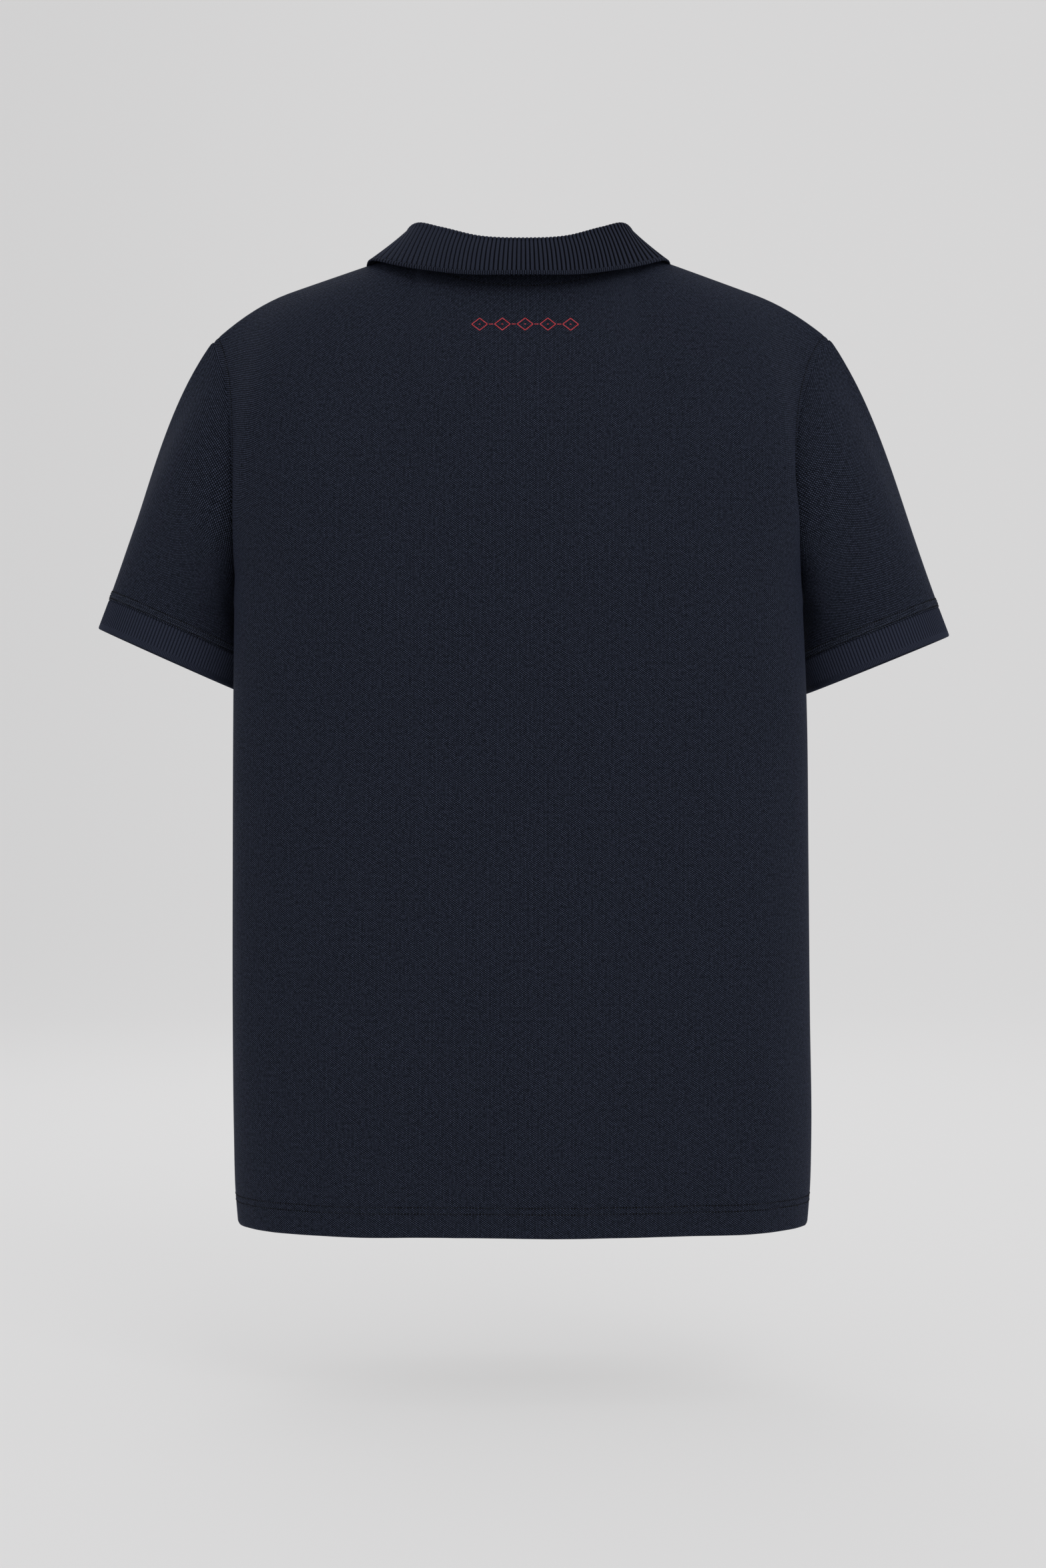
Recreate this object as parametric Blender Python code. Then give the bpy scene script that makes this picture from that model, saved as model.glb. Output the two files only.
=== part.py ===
"""A short-sleeved polo shirt, filled out as if worn, with nobody in it.

Metres, +Z up. The front faces -Y, the back +Y and the wearer's left is +X. The origin is the middle of the neck
opening, level with the tops of the shoulder seams, where the wearer's shoulders carry the shirt. One smooth skin is
worked out from sections and seam lines; each cloth piece is a wall cut from that skin, a hair apart at the seams.
"""

import math

import bmesh
import bpy
import numpy as np
from mathutils import Matrix, Vector
from mathutils.bvhtree import BVHTree

NAME = "polo_shirt"
CLOTH = 0.0015  # wall of the pique
HEM_CLOTH = 0.0024  # wall where the hem is turned up
RIB_CLOTH = 0.0018  # wall of the rib-knit collar and cuffs
SEAM_GAP = 0.0003
UP = np.array((0.0, 0.0, 1.0))

# Body below the arms.
ARMPIT_Z = -0.240
HEM_Z = -0.712
HEM_DEPTH = 0.025
SIDE_SEAM_Y = 0.008
BACK_ROUND = 2.7  # exponents of the half sections: 2 is an ellipse, more is squarer
FRONT_ROUND = 1.95
# height, half width on the wearer's left, on the right, reach to the back, reach to the front
BODY_SECTIONS = (
    (-0.240, 0.2105, 0.2030, 0.1120, 0.1130),
    (-0.330, 0.2115, 0.2070, 0.1095, 0.1150),
    (-0.450, 0.2120, 0.2085, 0.1070, 0.1160),
    (-0.560, 0.2120, 0.2095, 0.1085, 0.1150),
    (-0.650, 0.2110, 0.2105, 0.1120, 0.1130),
    (-0.687, 0.2100, 0.2095, 0.1130, 0.1120),
    (-0.712, 0.2080, 0.2075, 0.1125, 0.1110),
)
BODY_ROWS = (-0.240, -0.290, -0.345, -0.400, -0.455, -0.510, -0.565, -0.620, HEM_Z + HEM_DEPTH, HEM_Z)
# Soft standing folds of the body: face, place across, top, bottom, half width, depth (outwards is positive)
BODY_FOLDS = (
    ("back", 0.125, -0.300, -0.712, 0.040, 0.0035),
    ("back", 0.055, -0.420, -0.712, 0.038, -0.0030),
    ("back", -0.030, -0.480, -0.712, 0.036, 0.0028),
    ("back", -0.105, -0.380, -0.712, 0.042, -0.0032),
    ("back", -0.165, -0.300, -0.712, 0.030, 0.0030),
    ("front", 0.120, -0.340, -0.712, 0.042, 0.0035),
    ("front", 0.045, -0.300, -0.712, 0.040, -0.0032),
    ("front", -0.050, -0.400, -0.712, 0.038, 0.0030),
    ("front", -0.130, -0.320, -0.712, 0.040, -0.0034),
)

# Neck and shoulder seams.
NECK_HALF_WIDTH = 0.075
NECK_POINT_Z = 0.002
BACK_NECK_Y = 0.056
BACK_NECK_Z = -0.028
FRONT_NECK_Y = -0.060
FRONT_NECK_Z = -0.076
# Which side: 1 is the wearer's left, -1 the right
SHOULDER_SLOPE = {1: 0.342, -1: 0.360}
SHOULDER_ROUND_FROM = 0.170
SHOULDER_ROUND = {1: 5.0, -1: 4.3}
SHOULDER_END_Y = -0.002
NECK_STRAIGHT = {"back": 1.0, "front": 0.46}  # below 1 the neckline drops late, near its middle
SHOULDER_HALF_WIDTH = {1: 0.2285, -1: 0.2258}
# How far the armhole leans in, at its top and at its foot
ARMHOLE_LEAN = {
    ("back", 1): (0.023, 0.000),
    ("back", -1): (0.037, 0.008),
    ("front", 1): (0.027, 0.010),
    ("front", -1): (0.027, 0.008),
}

TOP_ROWS = 10  # rows of the wall from the shoulder seam to the armpit
SHOULDER_COLUMNS = 9
BACK_NECK_COLUMNS = (0.0, 0.2, 0.4, 0.6, 0.8)
BACK_NECK_SHARE = 5 / 14  # share of the half back that ends at the neck
FRONT_NECK_COLUMNS = (0.0, 0.098, 0.27, 0.45, 0.63, 0.82)
FRONT_NECK_SHARE = 0.4375
# How the cloth leaves the seam at the top: share across, then the push in X (1 is the armhole's lean), Y and Z
LEAVE_TOP = {
    "back": (
        (0.000, 0.00, 0.036, -0.054),
        (0.357, -0.10, 0.062, -0.030),
        (0.600, 0.10, 0.066, -0.024),
        (0.850, 0.55, 0.060, -0.030),
        (1.000, 1.00, 0.042, -0.041),
    ),
    "front": (
        (0.000, 0.00, -0.030, -0.040),
        (0.438, -0.10, -0.055, -0.034),
        (0.700, 0.25, -0.058, -0.030),
        (0.880, 0.60, -0.056, -0.036),
        (1.000, 1.00, -0.045, -0.050),
    ),
}
# How it comes down on the armpit level: share across, then X (1 is the armhole's lean), Y and Z
REACH_ARMPIT = {
    "back": (
        (0.000, 0.0, 0.000, 0.085),
        (0.500, 0.0, 0.002, 0.100),
        (0.800, 0.3, 0.035, 0.088),
        (0.930, 0.7, 0.068, 0.062),
        (1.000, 1.0, 0.075, 0.035),
    ),
    "front": (
        (0.000, 0.0, 0.000, 0.070),
        (0.500, 0.0, -0.003, 0.095),
        (0.800, 0.3, -0.035, 0.085),
        (0.930, 0.7, -0.068, 0.060),
        (1.000, 1.0, -0.080, 0.030),
    ),
}

# Sleeves: a tube from the armhole to the cuff seam.
SLEEVE_ROWS = 8
CUFF_DEPTH = 0.023
CUFF_FOOT = {1: (0.2638, -0.036, -0.3008), -1: (0.2643, -0.036, -0.3044)}  # centre of the cuff's lower edge
CUFF_TILT = {1: math.radians(24), -1: math.radians(22)}
CUFF_HALF_WIDTH = 0.058
CUFF_HALF_DEPTH = 0.051
SLEEVE_AXIS = (0.350, 0.020, -0.937)
ARM_MIDDLE = (0.235, -0.012, -0.200)  # a point inside the sleeve
# How the sleeve leaves the armhole: share round it (0 shoulder, 0.25 back, 0.5 underarm, 0.75 front), then X, Y, Z
LEAVE_ARMHOLE = (
    (0.000, 0.037, 0.000, -0.050),
    (0.125, 0.046, 0.012, -0.040),
    (0.250, 0.046, 0.008, -0.034),
    (0.375, 0.032, -0.002, -0.036),
    (0.450, 0.018, -0.008, -0.032),
    (0.500, 0.004, -0.012, -0.028),
    (0.550, 0.018, -0.006, -0.032),
    (0.625, 0.032, 0.000, -0.036),
    (0.750, 0.048, -0.004, -0.036),
    (0.875, 0.046, -0.010, -0.042),
    (1.000, 0.037, 0.000, -0.050),
)
REACH_CUFF_TOP = 0.075  # length of run-in above the cuff seam, at the outside of the arm
REACH_CUFF_UNDER = 0.026  # and under it
UNDERARM_TURN = 1.3  # how far the underarm seam turns in from the sleeve's axis, 1 being straight down

# Rib-knit collar: share round the half collar (0 middle of the back, 1 the front end), then X, Y, Z and, for the
# leaf's edge, the height that it stands over the panels
FOLD_LINE = (
    (0.000, 0.000, 0.0555, -0.0010),
    (0.150, 0.031, 0.0520, 0.0010),
    (0.300, 0.060, 0.0370, 0.0100),
    (0.390, 0.0765, 0.0190, 0.0160),
    (0.455, 0.0825, 0.0020, 0.0150),
    (0.560, 0.080, -0.0220, 0.0085),
    (0.700, 0.063, -0.0500, -0.0200),
    (0.850, 0.034, -0.0680, -0.0490),
    (1.000, 0.003, -0.0745, -0.0620),
)
LEAF_EDGE = (
    (0.000, 0.000, 0.0760, -0.0300, 0.0165),
    (0.150, 0.036, 0.0720, -0.0280, 0.0140),
    (0.300, 0.072, 0.0560, -0.0200, 0.0100),
    (0.390, 0.096, 0.0330, -0.0140, 0.0080),
    (0.455, 0.114, 0.0060, -0.0085, 0.0055),
    (0.540, 0.112, -0.0240, -0.0240, 0.0045),
    (0.660, 0.101, -0.0520, -0.0560, 0.0040),
    (0.820, 0.076, -0.0810, -0.0980, 0.0036),
    (1.000, 0.046, -0.0950, -0.1260, 0.0040),
)
REST_SMOOTHING = 60  # rounds of smoothing along the leaf's edge where it rests
FOLD_RADIUS = 0.0022
# How far the leaf rounds out between its fold and its edge, round the half collar
LEAF_BULGE = (
    (0.000, 0.0060),
    (0.250, 0.0050),
    (0.360, 0.0015),
    (0.455, -0.0015),
    (0.560, 0.0010),
    (0.750, 0.0040),
    (1.000, 0.0040),
)
# How near to the middle the collar stands on the wearer's right, against the left
COLLAR_RIGHT = (
    (0.000, 1.000),
    (0.400, 0.945),
    (1.000, 1.000),
)
COLLAR_RIB = 0.0028
CUFF_RIB = 0.0022
RIB_HEIGHT = 0.0004
COLLAR_BACKING = 4  # columns of ribs to one of the plain side
CUFF_BACKING = 8
STAND_STEPS = (0.0, 1.0)
FOLD_ANGLES = (90,)
LEAF_STEPS = (0.0, 0.45, 0.91, 1.0)

# Placket and buttons.
PLACKET_HALF_WIDTH = 0.0165
PLACKET_ROWS = 9  # it runs down this many of the wall's rows
SLIT_ROWS = 8
PLACKET_LIFT = 0.0004
BUTTON_RADIUS = 0.0056
BUTTON_THICKNESS = 0.0026
BUTTON_WELL_RADIUS = 0.0036
BUTTON_WELL_DEPTH = 0.0008
BUTTON_HOLE_RADIUS = 0.0008
BUTTON_HOLE_OFFSET = 0.0014
BUTTON_HOLE_SIDES = 8
BUTTON_TURNS = 20  # faces round a button
BUTTON_SEAT = 0.0008
BUTTON_ROWS = (0.5, 3.5, 6.5)  # places down the placket, in its rows

PIQUE = (0.014, 0.017, 0.028)
RIB_KNIT = (0.013, 0.016, 0.026)
BUTTON_BLUE = (0.016, 0.020, 0.034)


def clear_scene():
    for thing in list(bpy.data.objects):
        bpy.data.objects.remove(thing, do_unlink=True)


def finish(name, colour, roughness):
    """A plain principled material."""
    material = bpy.data.materials.new(name)
    material.use_nodes = True
    shader = material.node_tree.nodes["Principled BSDF"]
    shader.inputs["Base Color"].default_value = (*colour, 1.0)
    shader.inputs["Roughness"].default_value = roughness
    shader.inputs["Metallic"].default_value = 0.0
    return material


def smooth_table(rows, at):
    """The table's columns at each value of its first one, on a smooth curve through the rows."""
    rows = np.asarray(sorted(rows), float)
    keys, values = rows[:, 0], rows[:, 1:]
    slopes = np.gradient(values, keys, axis=0)
    at = np.atleast_1d(np.clip(at, keys[0], keys[-1]))
    low = np.clip(np.searchsorted(keys, at, side="right") - 1, 0, len(keys) - 2)
    span = (keys[low + 1] - keys[low])[:, None]
    t = (at - keys[low])[:, None] / span
    return (
        (2 * t**3 - 3 * t**2 + 1) * values[low]
        + (t**3 - 2 * t**2 + t) * span * slopes[low]
        + (3 * t**2 - 2 * t**3) * values[low + 1]
        + (t**3 - t**2) * span * slopes[low + 1]
    )


def both_halves(rows):
    """A half table with its second row repeated across the middle, where X changes its sign."""
    key, x, *rest = rows[1]
    return ((-key, -x, *rest), *rows)


def bezier(start, leave, reach, end, t):
    s = 1.0 - t
    return s**3 * start + 3 * s * s * t * leave + 3 * s * t * t * reach + t**3 * end


def quarter_section(half_width, reach, exponent, shares):
    """Points of a quarter superellipse at equal shares of its length, from its middle to its side."""
    angle = np.linspace(0.0, math.pi / 2, 400)
    x = half_width * np.sin(angle) ** (2 / exponent)
    y = reach * np.cos(angle) ** (2 / exponent)
    run = np.concatenate(([0.0], np.cumsum(np.hypot(np.diff(x), np.diff(y)))))
    run /= run[-1]
    return np.interp(shares, run, x), np.interp(shares, run, y)


def fold_push(face, x, z):
    """How far the soft folds push a body point out."""
    push = np.zeros(np.broadcast(x, z).shape)
    for fold_face, across, top, bottom, half_width, depth in BODY_FOLDS:
        if fold_face == face:
            down = np.clip((top - z) / (top - bottom), 0.0, 1.0)
            push = push + depth * down**1.3 * np.exp(-(((x - across) / half_width) ** 2))
    return push


def body_section(face, side, share, z):
    """A point of the body below the arms: share 0 is its middle and 1 its side seam."""
    left, right, back, front = smooth_table(BODY_SECTIONS, z)[0]
    half_width = left if side > 0 else right
    if face == "back":
        x, y = quarter_section(half_width, back - SIDE_SEAM_Y, BACK_ROUND, share)
        y = SIDE_SEAM_Y + y + fold_push(face, side * x, z) * (1 - share**4)
    else:
        x, y = quarter_section(half_width, front + SIDE_SEAM_Y, FRONT_ROUND, share)
        y = SIDE_SEAM_Y - y - fold_push(face, side * x, z) * (1 - share**4)
    return np.array((side * x, y, z))


def neck_seam(face, turn):
    """A point of the half neck seam: turn 0 is its middle and 1 the neck point."""
    angle = turn * math.pi / 2
    towards_middle = max(0.0, math.cos(angle))
    straight = NECK_STRAIGHT[face]
    drop = straight * towards_middle + (1 - straight) * towards_middle**2
    y, z = (BACK_NECK_Y, BACK_NECK_Z) if face == "back" else (FRONT_NECK_Y, FRONT_NECK_Z)
    x = NECK_HALF_WIDTH * math.sin(angle)
    return np.array((x, y * towards_middle, NECK_POINT_Z + (z - NECK_POINT_Z) * drop))


def shoulder_seam(side, along):
    """A point of the shoulder seam: along 0 is the neck point and 1 the shoulder point."""
    x = NECK_HALF_WIDTH + (SHOULDER_HALF_WIDTH[side] - NECK_HALF_WIDTH) * along
    z = NECK_POINT_Z - SHOULDER_SLOPE[side] * (x - NECK_HALF_WIDTH)
    z -= SHOULDER_ROUND[side] * max(0.0, x - SHOULDER_ROUND_FROM) ** 2
    return np.array((x, SHOULDER_END_Y * along, z))


def neck_share(face):
    return BACK_NECK_SHARE if face == "back" else FRONT_NECK_SHARE


def top_seam(face, side, share):
    """The upper edge of a half panel, along the neck and then the shoulder."""
    split = neck_share(face)
    if share <= split:
        point = neck_seam(face, share / split)
    else:
        point = shoulder_seam(side, (share - split) / (1 - split))
    return point * (side, 1, 1)


def yoke(face, side, share, t):
    """A point of a panel above the armpit level: t 0 is the top seam and 1 the armpit level."""
    start = top_seam(face, side, share)
    end = body_section(face, side, share, ARMPIT_Z)
    top_lean, foot_lean = ARMHOLE_LEAN[face, side]
    push = smooth_table(both_halves(LEAVE_TOP[face]), share)[0] * (-side * top_lean, 1, 1)
    pull = smooth_table(both_halves(REACH_ARMPIT[face]), share)[0] * (-side * foot_lean, 1, 1)
    return bezier(start, start + push, end + pull, end, t)


def panel_columns(face):
    """Signed shares across a panel, from the wearer's right side seam to the left one."""
    split = neck_share(face)
    turns = BACK_NECK_COLUMNS if face == "back" else FRONT_NECK_COLUMNS
    half = [split * turn for turn in turns]
    half += [split + (1 - split) * k / SHOULDER_COLUMNS for k in range(SHOULDER_COLUMNS + 1)]
    return [-share for share in reversed(half[1:])] + half


def panel_points(face):
    """Rows of a panel's outer points, from the top seam down to the hem."""
    columns = panel_columns(face)
    sides = [1 if share >= 0 else -1 for share in columns]
    rows = []
    for k in range(TOP_ROWS + 1):
        rows.append([yoke(face, side, abs(share), k / TOP_ROWS) for share, side in zip(columns, sides)])
    for z in BODY_ROWS[1:]:
        rows.append([body_section(face, side, abs(share), z) for share, side in zip(columns, sides)])
    return np.array(rows)


def armhole(side):
    """The closed armhole seam: shoulder point, down the back, the underarm and up the front."""
    shares = [k / TOP_ROWS for k in range(TOP_ROWS + 1)]
    back = [yoke("back", side, 1.0, t) for t in shares]
    front = [yoke("front", side, 1.0, t) for t in shares]
    return np.array(back + front[-2:0:-1])


def cuff_ring(side, up_the_arm, turns):
    """Points round the cuff at a height above its lower edge: turn 0 outside, 0.25 back, 0.5 under, 0.75 front."""
    axis = np.array(SLEEVE_AXIS) / np.linalg.norm(SLEEVE_AXIS)
    centre = np.array(CUFF_FOOT[side]) - axis * up_the_arm
    across = np.array((math.cos(CUFF_TILT[side]), 0.0, math.sin(CUFF_TILT[side]))) * CUFF_HALF_WIDTH
    through = np.cross(across / CUFF_HALF_WIDTH, axis)
    through *= CUFF_HALF_DEPTH / np.linalg.norm(through)
    angles = 2 * math.pi * np.asarray(turns)[:, None]
    ring = centre + across * np.cos(angles) + through * np.sin(angles) * (1 if through[1] > 0 else -1)
    return ring * (side, 1, 1)


def sleeve_points(side):
    """Rings of a sleeve's outer points, from the armhole to the cuff seam."""
    start = armhole(side)
    turns = np.arange(len(start)) / len(start)
    end = cuff_ring(side, CUFF_DEPTH, turns)
    axis = np.array(SLEEVE_AXIS) / np.linalg.norm(SLEEVE_AXIS) * (side, 1, 1)
    leave = start + smooth_table(LEAVE_ARMHOLE, turns) * (side, 1, 1)
    under = (0.5 - 0.5 * np.cos(2 * math.pi * turns))[:, None]
    run_in = axis * (REACH_CUFF_TOP + (REACH_CUFF_UNDER - REACH_CUFF_TOP) * under)
    run_in[:, :1] *= 1 - UNDERARM_TURN * under
    reach = end - run_in
    return np.array([bezier(start, leave, reach, end, k / SLEEVE_ROWS) for k in range(SLEEVE_ROWS + 1)])


def grid_mesh(points, closed=False):
    """A bmesh of a grid of points."""
    sheet = bmesh.new()
    rows, columns = points.shape[:2]
    verts = [[sheet.verts.new(p) for p in row] for row in points]
    for i in range(rows - 1):
        for j in range(columns if closed else columns - 1):
            k = (j + 1) % columns
            sheet.faces.new((verts[i][j], verts[i][k], verts[i + 1][k], verts[i + 1][j]))
    bmesh.ops.triangulate(sheet, faces=sheet.faces, quad_method="SHORT_EDGE")
    sheet.normal_update()
    return sheet


def cut_slit(sheet, points):
    """Opens the front down its middle, where the two strips of the placket close it again."""
    middle = points.shape[1] // 2
    half_width = points[0, middle + 1, 0] * 1.5
    foot = points[SLIT_ROWS, middle, 2]
    inside = []
    for face in sheet.faces:
        centre = face.calc_center_median()
        if abs(centre.x) < half_width and centre.z > foot:
            inside.append(face)
    bmesh.ops.delete(sheet, geom=inside, context="FACES")


def place_key(co):
    return tuple(round(c, 6) for c in Vector(co))


def join_skin(sheets):
    """The pieces' skins joined along their seams, and the normal at each point of the whole."""
    skin = bmesh.new()
    for sheet in sheets:
        piece = bpy.data.meshes.new("piece")
        sheet.to_mesh(piece)
        skin.from_mesh(piece)
        bpy.data.meshes.remove(piece)
    bmesh.ops.remove_doubles(skin, verts=skin.verts, dist=1e-6)
    skin.normal_update()
    normals = {place_key(v.co): v.normal.copy() for v in skin.verts}
    return skin, normals


def add_object(name, bm, material, smooth=True):
    """An object in the shirt's collection from a finished bmesh."""
    mesh = bpy.data.meshes.new(name)
    bm.to_mesh(mesh)
    bm.free()
    mesh.materials.append(material)
    if smooth:
        mesh.shade_smooth()
    else:
        mesh.set_sharp_from_angle(angle=math.radians(35))
    thing = bpy.data.objects.new(name, mesh)
    bpy.data.collections[NAME].objects.link(thing)
    return thing


def make_wall(sheet, normals, thickness):
    """Closes an open skin into a wall, mitred and drawn back at its seams; thickness is a function of a point."""
    outer = list(sheet.verts)
    rims = [e for e in sheet.edges if e.is_boundary]
    own = {v: v.normal.copy() for v in outer}
    inward = {v: Vector() for v in outer}
    for edge in rims:
        middle = (edge.verts[0].co + edge.verts[1].co) / 2
        into = edge.link_faces[0].calc_center_median() - middle
        along = (edge.verts[1].co - edge.verts[0].co).normalized()
        into -= along * into.dot(along)
        for v in edge.verts:
            inward[v] += into.normalized()
    places = {}
    for v in outer:
        mitre = normals.get(place_key(v.co), own[v])
        if mitre.dot(own[v]) < 0.1:
            mitre = (mitre + own[v]).normalized()
        places[v] = (v.co.copy(), mitre)
    inner = {}
    for v in outer:
        start, mitre = places[v]
        step = inward[v] - mitre * mitre.dot(inward[v])
        if step.length > 0:
            step *= SEAM_GAP / step.length / inward[v].length
        reach = thickness(start) / max(0.6, mitre.dot(own[v]))
        v.co = start + step
        inner[v] = sheet.verts.new(v.co - mitre * reach)
    for face in list(sheet.faces):
        sheet.faces.new([inner[v] for v in reversed(face.verts)])
    for edge in rims:
        loop = edge.link_loops[0]
        first, second = loop.vert, loop.link_loop_next.vert
        corners = [second, first, inner[first], inner[second]]
        if tuple(places[first][0]) > tuple(places[second][0]):
            corners = corners[1:] + corners[:1]
        sheet.faces.new((corners[0], corners[1], corners[2]))
        sheet.faces.new((corners[0], corners[2], corners[3]))
    return sheet


def face_outwards(sheet, centre_of):
    """Turns an open skin so its faces look away from the point that centre_of gives."""
    face = max(sheet.faces, key=lambda f: f.calc_area())
    middle = face.calc_center_median()
    if face.normal.dot(middle - centre_of(middle)) < 0:
        bmesh.ops.reverse_faces(sheet, faces=sheet.faces)
    sheet.normal_update()


def cloth_thickness(point):
    return HEM_CLOTH if point.z < HEM_Z + HEM_DEPTH * 1.01 else CLOTH


def ribbed_wall(ribs, plain, backing, closed):
    """A closed wall between a fine ribbed grid and a plain one with a column to every few of its own."""
    wall = bmesh.new()
    fine = [[wall.verts.new(p) for p in row] for row in ribs]
    coarse = [[wall.verts.new(p) for p in row] for row in plain]
    fine_count, coarse_count = len(fine[0]), len(coarse[0])
    for i in range(len(fine) - 1):
        for j in range(fine_count if closed else fine_count - 1):
            k = (j + 1) % fine_count
            wall.faces.new((fine[i][j], fine[i][k], fine[i + 1][k], fine[i + 1][j]))
        for j in range(coarse_count if closed else coarse_count - 1):
            k = (j + 1) % coarse_count
            wall.faces.new((coarse[i][k], coarse[i][j], coarse[i + 1][j], coarse[i + 1][k]))
    for row, turned in ((0, False), (-1, True)):
        for j in range(coarse_count if closed else coarse_count - 1):
            near = [fine[row][(j * backing + m) % fine_count] for m in range(backing + 1)]
            first, last = coarse[row][j], coarse[row][(j + 1) % coarse_count]
            half = backing // 2
            strip = [(near[m + 1], near[m], first) for m in range(half)]
            strip += [(near[half], first, last)]
            strip += [(near[m + 1], near[m], last) for m in range(half, backing)]
            for corners in strip:
                wall.faces.new(corners[::-1] if turned else corners)
    if not closed:
        for column, turned in ((0, False), (-1, True)):
            for i in range(len(fine) - 1):
                corners = (fine[i][column], fine[i + 1][column], coarse[i + 1][column], coarse[i][column])
                wall.faces.new(corners[::-1] if turned else corners)
    bmesh.ops.recalc_face_normals(wall, faces=wall.faces)
    return wall


def polyline(points, shares):
    """Points along straight runs between the given ones, by their index."""
    index = np.clip(np.asarray(shares) * (len(points) - 1), 0, len(points) - 1)
    low = np.minimum(index.astype(int), len(points) - 2)
    part = (index - low)[:, None]
    return points[low] * (1 - part) + points[low + 1] * part


def grid_normals(points):
    """Unit normals of a grid of points, across its rows and columns."""
    down = np.gradient(points, axis=0)
    along = np.gradient(points, axis=1)
    normal = np.cross(along, down)
    return normal / np.linalg.norm(normal, axis=2, keepdims=True)


def square_to_cuff(ring, normals):
    """The mitre of a sleeve's last ring lies in the plane of the cuff's upper edge."""
    centre = ring.mean(axis=0)
    for p in ring:
        normals[place_key(p)] = Vector(p - centre).normalized()


def neck_edge(back, front, normals):
    """The half neck seam on the wearer's left as the panels have it, with the mitre that it shares with the stand."""
    middle_back, middle_front = back.shape[1] // 2, front.shape[1] // 2
    points = list(back[0, middle_back : middle_back + len(BACK_NECK_COLUMNS) + 1])
    points += list(front[0, middle_front : middle_front + len(FRONT_NECK_COLUMNS)][::-1])
    points = np.array(points)
    fold = smooth_table(both_halves(FOLD_LINE), np.linspace(0.0, 1.0, len(points)))
    along = np.gradient(points, axis=0)
    along /= np.linalg.norm(along, axis=1, keepdims=True)
    out = np.cross(fold - points, along)
    out /= np.linalg.norm(out, axis=1, keepdims=True)
    out *= np.sign(out[0, 1])
    mitres = out + np.array([normals[place_key(p)] for p in points])
    mitres /= np.linalg.norm(mitres, axis=1, keepdims=True)
    rise = np.cross(mitres, along)
    rise *= np.sign(rise[:, 2:])
    for p, mitre in zip(points, mitres):
        normals[place_key(p)] = Vector(mitre)
        normals[place_key(p * (-1, 1, 1))] = Vector(mitre * (-1, 1, 1))
    return points, mitres, rise, np.sum(mitres * out, axis=1, keepdims=True)


def rest_over(skin_tree, points, lifts):
    """The points of a half edge moved smoothly to their own heights over the panels."""
    moves = []
    for p, lift in zip(points, lifts):
        hit, normal, _, _ = skin_tree.find_nearest(Vector(p))
        away = (Vector(p) - hit).normalized()
        away *= 1 if away.dot(normal) > 0 else -1
        moves.append(np.array(hit + away * lift) - p)
    moves = np.array(moves)
    for _ in range(REST_SMOOTHING):
        near = np.concatenate((moves[1:2] * (-1, 1, 1), moves, moves[-1:]))
        moves = (near[:-2] + 2 * moves + near[2:]) / 4
    return points + moves


def make_collar(edge, skin_tree, material):
    """The stand, fold and leaf in one strip, ribbed on the side that shows."""
    seam, mitres, rise, slant = edge
    half_count = COLLAR_BACKING * round(collar_length() / 2 / COLLAR_RIB * 2 / COLLAR_BACKING)
    shares = np.linspace(0.0, 1.0, half_count + 1)
    fold = smooth_table(both_halves(FOLD_LINE), shares)
    neck_point = len(BACK_NECK_COLUMNS) / (len(seam) - 1)
    neck_column = COLLAR_BACKING * round(neck_point * half_count / COLLAR_BACKING)
    seam_end = 1 - fold[-1, 0] / seam[-2, 0] / (len(seam) - 1)
    seam_shares = np.interp(shares * half_count, (0, neck_column, half_count), (0.0, neck_point, seam_end))
    start = polyline(seam, seam_shares)
    start_mitre = polyline(mitres / slant, seam_shares)
    leaf_table = smooth_table(both_halves(LEAF_EDGE), shares)
    leaf = rest_over(skin_tree, leaf_table[:, :3], leaf_table[:, 3])
    along = np.gradient(fold, axis=0)
    out = np.cross(UP, along) * (1, 1, 0)
    out /= np.linalg.norm(out, axis=1, keepdims=True)
    out *= np.sign(np.sum(out * (fold + (0, 0.02, 0)), axis=1, keepdims=True))
    centre = fold - UP * FOLD_RADIUS
    foot = start - start_mitre * CLOTH / 2 + polyline(rise, seam_shares) * SEAM_GAP
    inside = centre - out * FOLD_RADIUS
    rows = [foot * (1 - s) + inside * s for s in STAND_STEPS]
    for angle in FOLD_ANGLES:
        turn = math.radians(angle)
        rows.append(centre + (UP * math.sin(turn) - out * math.cos(turn)) * FOLD_RADIUS)
    outside = centre + out * FOLD_RADIUS
    bulge = smooth_table(LEAF_BULGE, shares)
    control = outside + (leaf - outside) * 0.45 + (out + UP) * bulge / 2
    for s in LEAF_STEPS:
        rows.append((1 - s) ** 2 * outside + 2 * s * (1 - s) * control + s * s * leaf)
    half = np.array(rows)
    nearer = smooth_table(COLLAR_RIGHT, shares)[:, 0]
    other = half.copy()
    other[1:, :, 0] *= -nearer
    other[0, :, 0] *= -1
    middle = np.concatenate((other[:, :0:-1], half), axis=1)
    out_of_wall = grid_normals(middle)
    shown = np.sign(out_of_wall[-1, half_count, 1])
    out_of_wall *= shown
    out_of_wall[0] = -np.concatenate((start_mitre[:0:-1] * (-1, 1, 1), start_mitre))
    ribs = np.where(np.arange(middle.shape[1]) % 2 == 0, 0.5, -0.5) * RIB_HEIGHT
    fade = np.ones(len(rows))
    fade[0] = fade[-1] = 0.0
    height = RIB_CLOTH / 2 + fade[:, None] * ribs[None, :]
    ribbed = middle + out_of_wall * height[:, :, None]
    plain = (middle - out_of_wall * RIB_CLOTH / 2)[:, ::COLLAR_BACKING]
    wall = ribbed_wall(ribbed, plain, COLLAR_BACKING, closed=False)
    add_object("collar", wall, material)


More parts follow.
